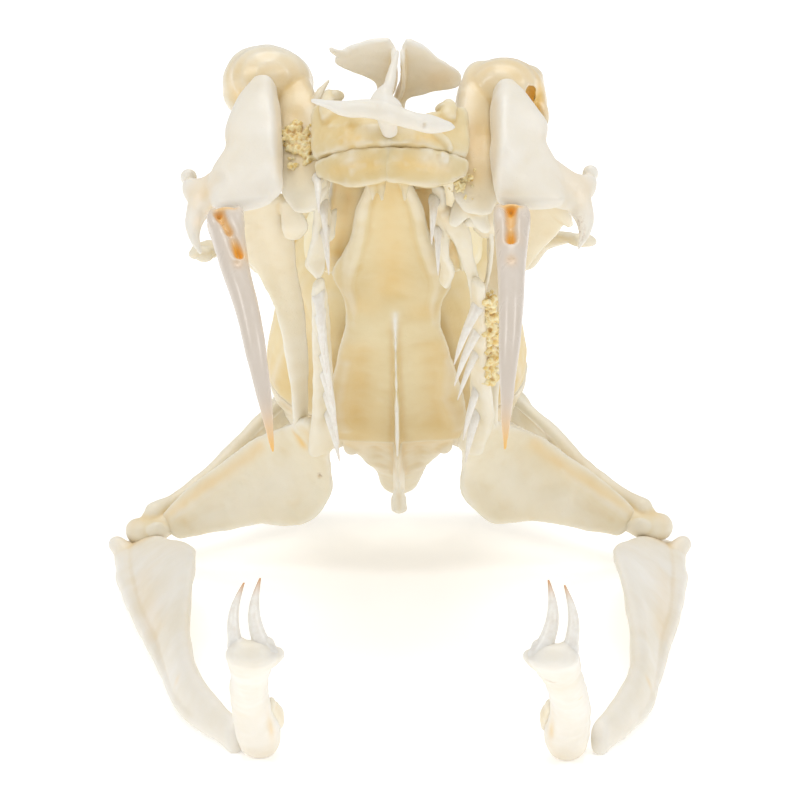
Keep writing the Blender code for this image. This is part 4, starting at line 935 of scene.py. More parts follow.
def make_frontal(side):
    """One of the bones between the orbits, with a curled leaf that shows beside the palate."""
    leaf_shift = {"left": 0.0, "right": -0.45}
    brow = Bone("frontal", side)
    brow.blade([((-0.4, 20.3, 3.8), (4.7, 20.8, 4.2), 5.2), ((-0.4, 22.5, 3.9), (3.9, 22.8, 4.4), 4.7),
                ((-0.4, 25.5, 3.6), (3.1, 25.5, 4.1), 4.0), ((-0.4, 28.0, 3.3), (2.9, 28.0, 3.6), 3.3),
                ((-0.4, 30.2, 3.0), (2.8, 30.2, 3.2), 2.7)], power=2.6)
    brow.rod([(2.9, 20.6, 6.4, 1.1, 0.45), (3.3, 23.0, 6.3, 1.0, 0.4), (3.5, 26.0, 5.7, 0.9, 0.4),
              (3.7, 28.6, 5.2, 0.8, 0.45)])
    out = leaf_shift[side]
    brow.blade([((1.1 + out, 30.9, 1.15), (2.9 + out, 30.7, 1.45), 0.6),
                ((1.2 + out, 29.5, 0.75), (3.1 + out, 29.3, 1.05), 0.75),
                ((1.5 + out, 27.7, 0.15), (3.2 + out, 27.5, 0.45), 0.75),
                ((2.0, 25.6, 0.0), (3.4, 25.4, 0.1), 0.65), ((2.5, 23.5, 0.1), (3.6, 23.3, 0.1), 0.6)])
    brow.blade([((2.8 + out, 30.8, 1.8), (3.0 + out, 30.8, 0.9), 0.26),
                ((3.0 + out, 28.7, 1.2), (3.25 + out, 28.5, 0.2), 0.24),
                ((3.2, 26.2, 0.6), (3.5, 26.0, -0.3), 0.24), ((3.5, 23.8, 0.5), (3.7, 23.6, -0.4), 0.24)])
    brow.cut_away(l=(-FAR, SEAM))
    brow.fuse(MEDIUM)
    brow.carve(-0.3, 0.55, (2.1 + out, 29.7, 0.7), (2.3 + out, 27.5, 0.1), (2.7, 25.6, -0.2))
    brow.carve(-0.3, 0.9, (1.4, 27.0, 5.6), (1.8, 23.0, 6.2), facing=ROOF)
    brow.weather(1.2, 0.05, 61)
    brow.tint("amber", 0.3, 0.8, (2.0 + out, 30.0, 0.8), (2.3 + out, 27.6, 0.2), (2.8, 25.0, -0.2))
    brow.tint("amber", 0.2, 2.0, (0.8, 27.0, 2.0), (1.5, 22.0, 1.5))
    brow.tint("pale", 0.7, 0.24, (2.95 + out, 30.6, 0.9), (3.2 + out, 28.5, 0.2), (3.5, 26.0, -0.3))
    brow.tint("pale", 0.35, 1.6, (1.5, 28.0, 6.0), (2.5, 21.0, 6.8))
    # The frontal takes the leaf tone, lighter than cream: painted light where the bone sits in shade.
    brow.finish("leaf")


def make_prefrontal(side):
    """The domed bone before the eye, with the column that carries the maxilla."""
    raised = {"left": -0.3, "right": -1.1}
    inset = {"left": 0.0, "right": -0.4}
    round_size = {"left": 1.0, "right": 0.93}
    column = {
        "left": [((6.4, 31.3, 6.6), (4.2, 31.5, 6.7), 1.8), ((5.75, 31.9, 4.6), (3.7, 32.0, 4.6), 1.6),
                 ((5.6, 32.1, 2.7), (3.3, 32.2, 2.7), 1.4), ((5.55, 32.1, 0.9), (2.95, 32.2, 0.9), 1.2),
                 ((5.5, 31.9, -0.8), (3.05, 32.0, -0.6), 0.9), ((4.9, 31.5, -1.7), (3.6, 31.6, -1.5), 0.5)],
        "right": [((6.0, 31.3, 6.3), (3.8, 31.5, 6.7), 1.8), ((5.35, 31.9, 4.6), (3.4, 32.0, 4.6), 1.6),
                  ((5.35, 32.1, 2.7), (3.45, 32.2, 2.7), 1.4), ((5.5, 32.1, 0.9), (3.5, 32.2, 0.9), 1.2),
                  ((5.6, 31.9, -1.1), (3.25, 32.0, -1.0), 0.9), ((5.3, 31.5, -1.9), (3.7, 31.6, -1.8), 0.5)]}
    r = round_size[side]
    dome = Bone("prefrontal", side, shift=(inset[side], 0.0, raised[side]))
    dome.rod([(6.1, 28.5, 6.7, 1.0 * r, 0.8 * r), (6.25, 29.6, 7.1, 2.0 * r, 1.6 * r),
              (6.3, 30.8, 7.0, 2.35 * r, 2.0 * r), (6.2, 31.5, 6.7, 2.2 * r, 1.85 * r)])
    dome.knob((7.35, 30.5, 6.7), (1.3 * r, 1.5 * r, 1.3 * r))
    dome.rod([(5.6, 29.6, 6.2, 1.1, 0.8), (4.2, 29.0, 5.6, 0.8, 0.6), (3.4, 28.6, 5.2, 0.55, 0.45)])
    dome.shift = np.zeros(3)
    dome.blade(column[side])
    if side == "left":
        dome.rod([(3.9, 32.2, 3.9, 0.3, 0.3), (3.6, 32.8, 4.6, 0.24, 0.2), (3.1, 33.0, 5.3, 0.1, 0.1)],
                 up=FRONT)
    else:
        dome.rod([(7.1, 30.9, 6.6, 0.95, 0.9), (7.6, 31.0, 5.5, 0.5, 0.6), (7.95, 31.1, 4.6, 0.27, 0.4),
                  (8.1, 31.1, 3.9, 0.13, 0.2)], up=FRONT)
        dome.rod([(4.2, 31.5, -0.9, 0.9, 0.4), (3.7, 31.0, -1.4, 0.6, 0.35),
                  (3.3, 30.6, -1.9, 0.35, 0.3)],
                 up=FRONT)
        dome.rod([(4.6, 31.3, -1.0, 0.5, 0.4), (4.6, 30.8, -1.8, 0.45, 0.35),
                  (4.9, 30.4, -2.2, 0.3, 0.25)],
                 up=FRONT)
        dome.knob((7.25, 32.0, 4.9), (0.4, 0.6, 0.6), cut=True)
    dome.fuse(MEDIUM)
    dome.carve(-0.22, 0.6, (7.9, 31.6, 5.2), (7.3, 31.8, 4.8), facing=(0.6, 0.8, -0.4))
    dome.carve(-0.18, 0.8, (5.2, 32.8, 4.6), (4.6, 32.9, 1.6))
    dome.carve(0.12, 0.4, (3.6, 33.0, 4.2), (3.3, 33.0, 0.6))
    dome.weather(1.6, 0.06, 71 + len(side))
    dome.tint("amber", 0.6, 0.6, (7.9, 31.6, 5.1), (7.3, 31.8, 4.7))
    dome.tint("amber", 0.4, 1.3, (7.6, 32.2, 6.0), (6.0, 33.0, 5.6), (4.6, 32.6, 5.6))
    dome.tint("amber", 0.3, 1.2, (4.7, 32.6, 3.4), (4.4, 32.6, 0.5))
    # Painted highlight: the top of the dome made chalky white, as if lit from above.
    dome.tint("pale", 0.7, 1.9, (6.6, 30.4, 8.8))
    if side == "left":
        dome.tissue([(4.9, 32.65, 2.2), (4.3, 32.7, 1.7), (4.2, 32.7, 0.8)],
                    (0.45, 0.1, 0.4), 0.15, 260, 5)
    else:
        dome.tint("amber", 0.85, 0.9, (7.2, 31.4, 5.1), (7.5, 31.4, 4.4))
        dome.tint("amber", 0.4, 0.45, (6.1, 32.3, 7.2), (6.5, 32.0, 7.4))
        dome.tint("amber", 0.4, 0.9, (4.7, 32.4, 2.0), (4.5, 32.2, -0.4))
        dome.tint("stain", 0.7, 0.35, (3.9, 31.8, -1.2), (4.5, 31.8, -1.1))
        dome.tissue([(3.9, 32.6, -0.4), (3.7, 32.4, -1.2)], (0.3, 0.12, 0.25), 0.1, 60, 6)
    dome.finish("cream_gloss")


def make_fang(side):
    """Each maxilla has two sockets; the left fang fills the outer one, the right the inner."""
    root = {"left": 8.25, "right": 6.25}
    middle = {"left": 7.0, "right": 6.15}
    tip = {"left": 5.85, "right": 5.8}
    pit = {"left": [(8.55, 34.1, -3.6), (8.05, 34.5, -5.0), (7.5, 34.8, -6.4)],
           "right": [(6.22, 34.1, -3.3), (6.2, 34.5, -4.6), (6.2, 34.8, -5.7)]}
    a = root[side]
    b = middle[side]
    c = tip[side]
    fang = Bone("fang", side)
    fang.rod([(a, 32.7, -2.9, 0.6, 0.5), (a, 33.3, -3.6, 0.96, 0.8),
              (a * 0.85 + b * 0.15, 33.9, -5.0, 0.86, 0.86),
              (a * 0.5 + b * 0.5, 34.0, -7.2, 0.7, 0.74), (b, 33.7, -9.6, 0.61, 0.64),
              (b * 0.6 + c * 0.4, 33.0, -12.0, 0.48, 0.5),
              (b * 0.25 + c * 0.75, 31.9, -14.0, 0.31, 0.32), (c, 30.55, -15.6, 0.07, 0.07)],
             up=FRONT)
    slot = pit[side]
    for out, low in ((0.62, -3.6), (-0.62, -3.5)):
        fang.rod([(a + out, 33.3, low + 0.5, 0.3, 0.34), (a + out * 0.95, 33.9, low - 0.3, 0.36, 0.36),
                  (a + out * 0.72 - (0.25 if side == "left" else 0), 34.2, low - 1.5, 0.3, 0.3)],
                 up=FRONT)
    fang.fuse(FINE, relax=4)
    fang.carve(-0.7, 0.24, *slot, facing=FRONT)
    fang.carve(-0.35, 0.2, *slot[:2], facing=FRONT)
    fang.carve(-0.16, 0.16, (slot[2][0], 34.9, -7.0), facing=FRONT)
    fang.weather(1.4, 0.025, 81)
    bed = [(l, f - 0.6, u) for l, f, u in slot]
    fang.tint("amber", 1.0, 0.42, *bed)
    fang.tint("amber", 0.8, 0.2, *slot[:2])
    fang.tint("amber", 0.85, 0.95, (c, 30.6, -15.6))
    fang.tint("amber", 0.35, 1.0, (c + 0.05, 31.2, -14.6))
    fang.tint("amber", 0.4, 0.3, (slot[2][0], 34.9, -7.05))
    fang.tint("stain", 0.5, 0.25, (slot[2][0], 34.9, -7.1))
    fang.tint("amber", 0.7, 0.3, (a - 0.3, 33.9, -3.1), (a + 0.3, 33.9, -3.1))
    fang.finish("fang")


def make_maxilla(side):
    """The block that swings the fang: a broad plate with a wing and a hook at its outer side."""
    plate = {
        "left": [((6.9, 32.4, 5.45), (5.9, 33.0, 4.95), 1.3), ((7.7, 32.5, 4.1), (5.7, 33.3, 3.55), 1.9),
                 ((8.3, 32.5, 2.3), (5.55, 33.4, 1.7), 2.3), ((8.25, 32.4, 1.2), (5.5, 33.4, 0.7), 2.4),
                 ((8.9, 32.2, 0.2), (5.5, 33.3, -0.4), 2.2), ((9.3, 32.1, -0.8), (5.5, 33.2, -1.3), 1.8),
                 ((9.1, 32.4, -2.0), (5.9, 33.0, -1.9), 1.0)],
        "right": [((6.4, 32.4, 5.0), (5.5, 33.0, 4.6), 1.3), ((7.1, 32.5, 4.0), (5.35, 33.3, 3.5), 1.9),
                  ((8.0, 32.5, 2.45), (5.35, 33.4, 1.7), 2.3), ((7.9, 32.4, 1.4), (5.35, 33.4, 0.6), 2.4),
                  ((8.4, 32.2, 0.5), (5.35, 33.3, -0.3), 2.2), ((9.0, 32.1, -0.6), (5.35, 33.2, -1.3), 1.8),
                  ((9.0, 32.4, -1.9), (5.45, 33.0, -2.1), 1.0)]}
    bone = Bone("maxilla", side)
    bone.blade(plate[side], power=3.0)
    bone.blade([((8.4, 32.2, 0.7), (8.4, 32.2, -2.0), 1.6), ((9.4, 31.8, 0.15), (9.3, 31.8, -2.0), 1.2),
                ((10.1, 31.4, 0.35), (9.9, 31.4, -1.7), 0.9),
                ((10.4, 31.2, 0.3), (10.3, 31.2, -0.9), 0.6)])
    bone.knob((10.3, 31.0, 0.75), (0.42, 0.5, 0.4))
    bone.rod([(9.6, 31.5, -1.2, 0.75, 0.6), (9.95, 31.3, -2.2, 0.5, 0.45), (9.95, 31.3, -3.1, 0.3, 0.3),
              (9.75, 31.2, -3.7, 0.17, 0.17), (9.62, 31.1, -4.0, 0.08, 0.08)], up=FRONT)
    bone.rod([(10.9, 33.0, 2.7, 1.1, 1.1), (9.6, 32.8, 1.8, 0.9, 0.85), (8.7, 32.4, 1.1, 0.5, 0.5)],
             up=FRONT, cut=True)
    bone.fuse(MEDIUM)
    bone.carve(-0.3, 1.1, (6.9, 34.3, 1.6), (7.1, 34.2, -0.2))
    bone.carve(0.16, 0.4, (5.8, 34.2, 3.4), (5.75, 34.2, 0.4))
    bone.carve(0.14, 0.35, (5.8, 33.8, -2.0), (7.2, 33.8, -2.05), (8.8, 33.4, -1.9))
    bone.carve(-0.22, 0.5, (8.9, 33.2, -0.9), (9.5, 32.4, -1.4))
    bone.weather(1.8, 0.05, 91)
    bone.tint("pale", 0.25, 1.6, (6.8, 34.0, 3.0), (7.0, 34.0, 0.4))
    bone.tint("amber", 0.22, 0.9, (8.2, 32.8, 1.6), (9.2, 32.4, 0.2), (9.9, 31.8, -1.0))
    bone.tint("amber", 0.14, 0.5, (5.5, 33.6, 3.4), (5.4, 33.6, -1.0))
    if side == "left":
        crack = ((6.45, 34.0, -1.75), (6.2, 34.0, -1.95), (6.05, 34.0, -2.2))
        bone.carve(-0.12, 0.09, *crack)
        bone.tint("stain", 0.8, 0.07, *crack)
        bone.tint("stain", 0.6, 0.16, (5.6, 33.5, -1.95))
        bone.tint("amber", 0.45, 0.45, (9.6, 32.6, -1.2))
        bone.tint("amber", 0.7, 0.4, (9.5, 31.9, -2.6), (9.2, 32.2, -2.3))
        bone.tint("amber", 0.4, 0.3, (7.9, 33.6, -2.5), (8.8, 33.4, -2.4))
    else:
        bone.tint("stain", 0.8, 0.16, (5.5, 33.6, -2.35), (7.2, 33.8, -2.45), (8.9, 33.2, -2.3))
        bone.tint("amber", 0.7, 0.3, (5.5, 33.6, -2.3), (7.2, 33.8, -2.4), (8.9, 33.2, -2.2))
        bone.tint("stain", 0.4, 0.3, (9.6, 31.6, -2.6), (9.7, 31.4, -3.4))
    bone.finish("white")


def make_premaxilla():
    """The bone at the tip of the snout: a bent cross bar and a narrow spike."""
    beak = Bone("premaxilla")
    beak.rod([(-3.8, 36.6, 1.56, 0.1, 0.1), (-3.0, 36.9, 1.11, 0.27, 0.24), (-2.1, 37.2, 0.62, 0.42, 0.42),
              (-1.0, 37.5, 0.4, 0.52, 0.5), (0.0, 37.7, 0.05, 0.54, 0.52), (0.65, 37.6, -0.15, 0.5, 0.48),
              (1.3, 37.5, -0.35, 0.46, 0.46), (2.2, 37.0, -0.25, 0.48, 0.48), (3.0, 36.6, -0.09, 0.3, 0.3),
              (3.35, 36.3, 0.05, 0.1, 0.1)])
    beak.rod([(-0.1, 37.6, 0.3, 0.9, 0.5), (-0.22, 37.4, 1.0, 0.66, 0.45), (-0.12, 37.3, 1.5, 0.46, 0.4),
              (0.08, 37.1, 2.1, 0.31, 0.36), (0.26, 36.8, 3.2, 0.23, 0.3), (0.42, 36.5, 4.2, 0.15, 0.22),
              (0.5, 36.3, 4.75, 0.1, 0.14)], up=FRONT)
    beak.rod([(-0.1, 37.2, 0.5, 0.6, 0.3), (0.0, 36.2, 0.5, 0.5, 0.3), (0.1, 35.3, 0.5, 0.4, 0.3)])
    beak.fuse(SHEET)
    beak.carve(-0.16, 0.4, (-1.9, 37.6, 0.4), (-0.6, 38.0, 0.1), facing=(0, 0.5, -0.9))
    beak.carve(-0.22, 0.14, (1.85, 37.5, -0.6), facing=(0, 0.6, -0.8))
    beak.carve(0.1, 0.25, (-0.1, 38.2, 0.3), (-0.1, 37.9, 1.6))
    beak.weather(1.0, 0.035, 101)
    beak.tint("stain", 0.2, 0.18, (1.85, 37.5, -0.65))
    beak.tint("pale", 0.5, 0.7, (-3.6, 36.7, 1.2), (0.3, 38.2, 0.6), (3.1, 36.5, -0.2))
    beak.finish("white")


def make_nasal(side):
    """A thin sheet over the snout, with one edge on the midline."""
    sheet = {
        "left": [((-0.1, 35.9, 5.78), (1.2, 35.8, 5.82), 0.3), ((-0.35, 35.4, 5.72), (2.3, 35.3, 5.7), 0.34),
                 ((-0.45, 34.8, 5.65), (2.75, 34.6, 5.5), 0.34), ((-0.4, 34.2, 5.5), (2.5, 34.1, 5.4), 0.34),
                 ((-0.3, 33.6, 5.4), (1.6, 33.6, 5.3), 0.34), ((-0.1, 33.0, 5.2), (0.75, 33.0, 5.2), 0.36),
                 ((0.1, 32.0, 4.9), (0.6, 32.0, 4.9), 0.4), ((0.2, 30.2, 3.9), (0.65, 30.2, 3.9), 0.4)],
        "right": [((0.9, 35.8, 5.75), (1.3, 35.8, 5.8), 0.3), ((0.72, 35.4, 5.72), (2.0, 35.3, 5.7), 0.34),
                  ((0.66, 34.8, 5.65), (2.7, 34.5, 5.5), 0.34), ((0.62, 34.0, 5.5), (3.55, 33.7, 5.4), 0.34),
                  ((0.56, 33.3, 5.3), (3.75, 33.1, 5.25), 0.34), ((0.5, 32.7, 5.1), (3.4, 32.6, 5.05), 0.3),
                  ((0.45, 32.2, 4.9), (1.3, 32.2, 4.85), 0.34), ((0.3, 31.5, 4.6), (0.8, 31.5, 4.6), 0.4),
                  ((0.25, 30.2, 3.9), (0.7, 30.2, 3.9), 0.4)]}
    wing = Bone("nasal", side)
    wing.blade(sheet[side])
    mid = {"left": -0.3, "right": 0.74}[side]
    wing.blade([((mid, 35.4, 5.6), (mid, 35.1, 4.9), 0.28), ((mid, 33.6, 5.4), (mid, 33.4, 4.4), 0.3),
                ((0.35, 32.2, 5.0), (0.35, 32.1, 4.2), 0.3)])
    if side == "left":
        wing.rod([(2.1, 34.9, 5.6, 0.4, 0.15), (2.7, 35.2, 5.55, 0.26, 0.13),
                  (2.95, 35.5, 5.55, 0.12, 0.1)])
    wing.fuse(SHEET, relax=2)
    wing.carve(-0.16, 0.6, (1.2, 34.6, 5.9), (1.0, 33.4, 5.6), facing=(0, 0.7, 0.7))
    wing.weather(0.8, 0.045, 111 + len(side))
    wing.tint("amber", 0.3, 0.4, (mid, 34.6, 5.0), (mid, 32.6, 4.4))
    wing.tint("pale", 0.5, 0.2, (0.5, 35.9, 5.8), (2.0, 35.5, 5.7), (2.9, 34.7, 5.5))
    if side == "left":
        wing.tint("stain", 0.8, 0.08, (0.55, 35.7, 5.9))
        wing.tint("stain", 0.7, 0.07, (2.0, 34.0, 5.5))
    else:
        wing.tint("amber", 0.3, 0.9, (2.6, 33.2, 5.2))
    # The nasal tone is lighter than the white one: painted light on a sheet whose seen side faces away from
    # the lamps.
    wing.finish("nasal")


def make_septomaxilla(side):
    """A crumpled cup under the nasal, with a small horn."""
    cup_sheet = {
        "left": [((0.06, 34.5, 1.6), (0.06, 34.5, 0.0), 1.1), ((1.4, 34.3, 1.9), (1.4, 34.4, 0.0), 1.2),
                 ((2.45, 34.0, 2.75), (2.5, 34.0, 0.0), 1.1), ((3.55, 33.5, 3.35), (3.6, 33.4, 0.1), 0.8)],
        "right": [((0.06, 34.5, 1.6), (0.06, 34.5, 0.0), 1.1), ((1.3, 34.3, 1.8), (1.3, 34.4, 0.0), 1.2),
                  ((2.1, 34.1, 2.3), (2.2, 34.1, 0.0), 1.1), ((3.7, 33.4, 3.2), (3.8, 33.3, 0.1), 0.8)]}
    cup = Bone("septomaxilla", side)
    cup.blade(cup_sheet[side], power=7.0)
    horn = {"left": 3.8, "right": 3.2}[side]
    cup.rod([(3.0, 34.2, 2.2, 0.5, 0.35), (3.15, 34.1, 2.8, 0.38, 0.28), (3.05, 34.0, horn, 0.26, 0.2)],
            up=FRONT)
    cup.knob({"left": (2.7, 33.9, 3.7), "right": (2.85, 33.9, 2.9)}[side], (0.5, 0.3, 0.34))
    if side == "right":
        cup.rod([(2.3, 34.6, 0.9, 0.3, 0.25), (2.9, 34.4, 0.5, 0.24, 0.2), (3.1, 34.2, 0.2, 0.2, 0.2)],
                up=FRONT)
    cup.fuse(FINE)
    cup.carve(-0.3, 0.4, (1.9, 35.0, 1.1))
    cup.carve(0.2, 0.5, (0.7, 35.2, 0.9))
    cup.carve(-0.2, 0.3, (2.7, 34.9, 1.9), (2.3, 35.0, 1.5))
    cup.carve(0.1, 0.25, (0.5, 35.2, 1.2), (1.6, 35.1, 1.1), (2.9, 34.4, 1.6))
    cup.weather(0.7, 0.06, 121 + len(side))
    cup.tint("pale", 0.35, 0.5, (1.0, 34.9, 0.9))
    cup.tint("amber", 0.3, 0.35, (2.2, 34.6, 0.5), (1.6, 34.9, 0.3))
    cup.tint("amber", 0.25, 1.2, (1.5, 34.8, 0.9), (3.0, 34.3, 1.6))
    cup.tint("pale", 0.4, 0.4, (2.8, 34.3, 3.2))
    cup.finish("palate")


def make_vomer(side):
    """A plate below the septomaxilla, which ends in fine spikes over the palate."""
    keel_sheet = {
        "left": [((0.06, 34.5, 0.14), (0.06, 33.5, -1.35), 1.0), ((0.9, 34.4, 0.14), (0.9, 33.4, -1.45), 1.1),
                 ((1.85, 34.3, 0.14), (1.85, 33.3, -1.5), 1.0), ((2.75, 33.9, 0.14), (2.65, 33.0, -1.0), 0.9),
                 ((3.5, 33.3, 0.1), (3.3, 32.9, -0.7), 0.7)],
        "right": [((0.06, 34.5, 0.14), (0.06, 33.5, -1.35), 1.0), ((1.1, 34.4, 0.14), (1.1, 33.4, -1.5), 1.1),
                  ((2.1, 34.2, 0.14), (2.1, 33.3, -1.55), 1.0), ((2.95, 33.8, 0.16), (2.9, 33.1, -1.3), 0.9),
                  ((3.8, 33.3, 0.1), (3.6, 33.0, -0.9), 0.7)]}
    spikes = {"left": (0.83, 0.37), "right": (0.81,)}
    plate = Bone("vomer", side)
    plate.blade(keel_sheet[side], power=7.0)
    plate.blade([((0.15, 33.4, -0.6), (3.0, 33.0, -0.1), 0.7), ((0.2, 31.8, 0.0), (2.6, 31.6, 0.2), 0.8),
                 ((0.3, 30.6, 0.5), (1.6, 30.5, 0.6), 0.8)])
    for l in spikes[side]:
        plate.rod([(l, 33.3, -0.7, 0.3, 0.3), (l, 32.7, -1.2, 0.22, 0.22), (l, 32.3, -1.6, 0.1, 0.1)])
    if side == "right":
        plate.knob((2.75, 34.0, -0.3), (0.4, 0.4, 0.45))
    plate.fuse(FINE)
    plate.carve(-0.25, 0.4, (1.3, 34.4, -0.1), (2.2, 34.2, 0.0))
    plate.carve(0.15, 0.25, (0.4, 34.3, -0.6), (1.8, 34.0, -1.0))
    plate.weather(0.7, 0.06, 131 + len(side))
    plate.tint("pale", 0.4, 0.45, (1.9, 34.4, -0.5))
    plate.tint("amber", 0.3, 0.4, (0.8, 34.4, -0.9), (2.9, 33.9, -0.9))
    plate.tint("amber", 0.2, 1.2, (1.0, 34.0, -0.5))
    if side == "right":
        plate.tint("pale", 0.45, 0.5, (2.75, 34.2, -0.6))
    plate.finish("palate")


def make_palatines():
    """The two toothed palatines, which differ: the right one has long slender struts."""
    left = Bone("palatine", "left")
    left.blade([((3.2, 32.9, -0.3), (3.7, 32.9, -0.8), 0.4), ((3.2, 31.2, -0.4), (3.8, 31.2, -1.2), 0.5),
                ((3.1, 29.4, -0.6), (3.9, 29.4, -1.7), 0.5), ((3.3, 27.9, -1.2), (4.3, 27.7, -2.4), 0.45),
                ((3.5, 27.0, -2.0), (3.8, 26.9, -2.8), 0.4)])
    left.blade([((2.7, 29.4, -0.2), (3.5, 29.4, -1.0), 0.34), ((2.9, 28.0, -0.9), (3.7, 28.1, -1.6), 0.34)])
    left.blade([((3.3, 28.6, -1.2), (3.9, 28.4, -1.9), 0.3), ((3.5, 27.6, -1.6), (4.45, 27.4, -2.3), 0.3),
                ((3.5, 26.9, -2.2), (3.9, 26.8, -2.7), 0.3)])
    left.fuse(FINE, relax=2)
    left.weather(0.8, 0.05, 141)
    left.tint("stain", 0.5, 0.12, (3.9, 30.0, -1.4))
    left.tint("pale", 0.3, 1.0, (3.8, 28.5, -1.8))
    left.teeth([((3.62, 32.6, -0.55), (3.55, 33.1, -2.95)), ((3.4, 31.0, -1.0), (3.2, 30.6, -3.4)),
                ((3.35, 29.3, -1.5), (3.15, 28.4, -3.6))], 0.9, FRONT, "tooth", 3)
    left.finish("cream")

    right = Bone("palatine", "right")
    right.blade([((2.2, 31.9, -0.4), (2.8, 31.9, -0.8), 0.4), ((2.2, 30.6, -0.6), (2.9, 30.6, -1.3), 0.5),
                 ((2.3, 29.2, -1.0), (3.0, 29.2, -1.8), 0.5), ((2.4, 28.0, -1.5), (3.0, 27.9, -2.4), 0.45),
                 ((2.6, 26.9, -1.9), (3.25, 26.8, -2.6), 0.4), ((2.5, 25.6, -2.0), (2.9, 25.5, -2.6), 0.34)])
    right.rod([(2.9, 30.4, -1.2, 0.4, 0.4), (3.5, 29.6, -1.7, 0.55, 0.3), (3.95, 27.6, -2.2, 0.36, 0.26),
               (4.35, 26.0, -2.7, 0.36, 0.26), (4.5, 25.3, -2.95, 0.4, 0.3)], up=(0, 0.5, -0.8))
    right.rod([(4.2, 30.3, -1.6, 0.4, 0.25), (5.0, 29.4, -1.4, 0.2, 0.2), (5.2, 28.0, -1.6, 0.14, 0.2),
               (5.0, 26.2, -2.3, 0.14, 0.2), (4.7, 25.4, -2.8, 0.2, 0.2)], up=(0, 0.5, -0.8))
    right.fuse(FINE, relax=2)
    right.weather(0.8, 0.05, 142)
    right.tint("stain", 0.5, 0.12, (2.7, 29.2, -1.8))
    right.tint("amber", 0.25, 0.8, (2.9, 30.4, -1.2))
    right.teeth([((2.3, 31.2, -1.0), (2.15, 31.0, -3.5)), ((2.45, 29.4, -1.7), (2.45, 28.4, -3.7))],
                0.92, FRONT, "tooth", 4)
    right.finish("cream")


def make_ectopterygoid(side):
    """The flat arm that pushes the maxilla."""
    arm = Bone("ectopterygoid", side)
    arm.blade([((5.2, 31.0, -0.5), (8.7, 30.9, -1.1), 0.75), ((5.1, 29.6, -0.7), (8.9, 29.4, -1.3), 0.6),
               ((4.95, 27.6, -0.8), (7.8, 27.0, -1.3), 0.5), ((4.9, 25.0, -0.9), (6.85, 24.6, -1.3), 0.5),
               ((4.65, 21.5, -1.0), (6.05, 21.2, -1.5), 0.5),
               ((4.55, 17.0, -1.7), (5.6, 16.8, -2.2), 0.5),
               ((4.7, 13.0, -2.5), (5.4, 12.8, -3.0), 0.5)])
    arm.rod([(5.3, 30.9, -0.8, 0.4, 0.3), (4.9, 29.8, -1.4, 0.7, 0.26), (5.0, 28.6, -1.3, 0.5, 0.24)])
    arm.rod([(8.2, 31.0, -1.0, 0.6, 0.35), (8.9, 30.0, -1.2, 0.4, 0.3), (9.2, 29.3, -1.2, 0.2, 0.2)])
    arm.fuse(FINE)
    arm.carve(-0.16, 0.6, (7.0, 30.4, -1.3), (6.2, 26.0, -1.4), (5.5, 21.0, -1.5), facing=(0, 0.3, -1))
    arm.weather(1.4, 0.04, 151)
    arm.tint("amber", 0.12, 2.4, (7.2, 30.6, -1), (6.0, 26.0, -1))
    arm.tint("pale", 0.3, 0.8, (5.2, 19.0, -1.6), (5.2, 14.0, -2.6))
    arm.finish("cream")


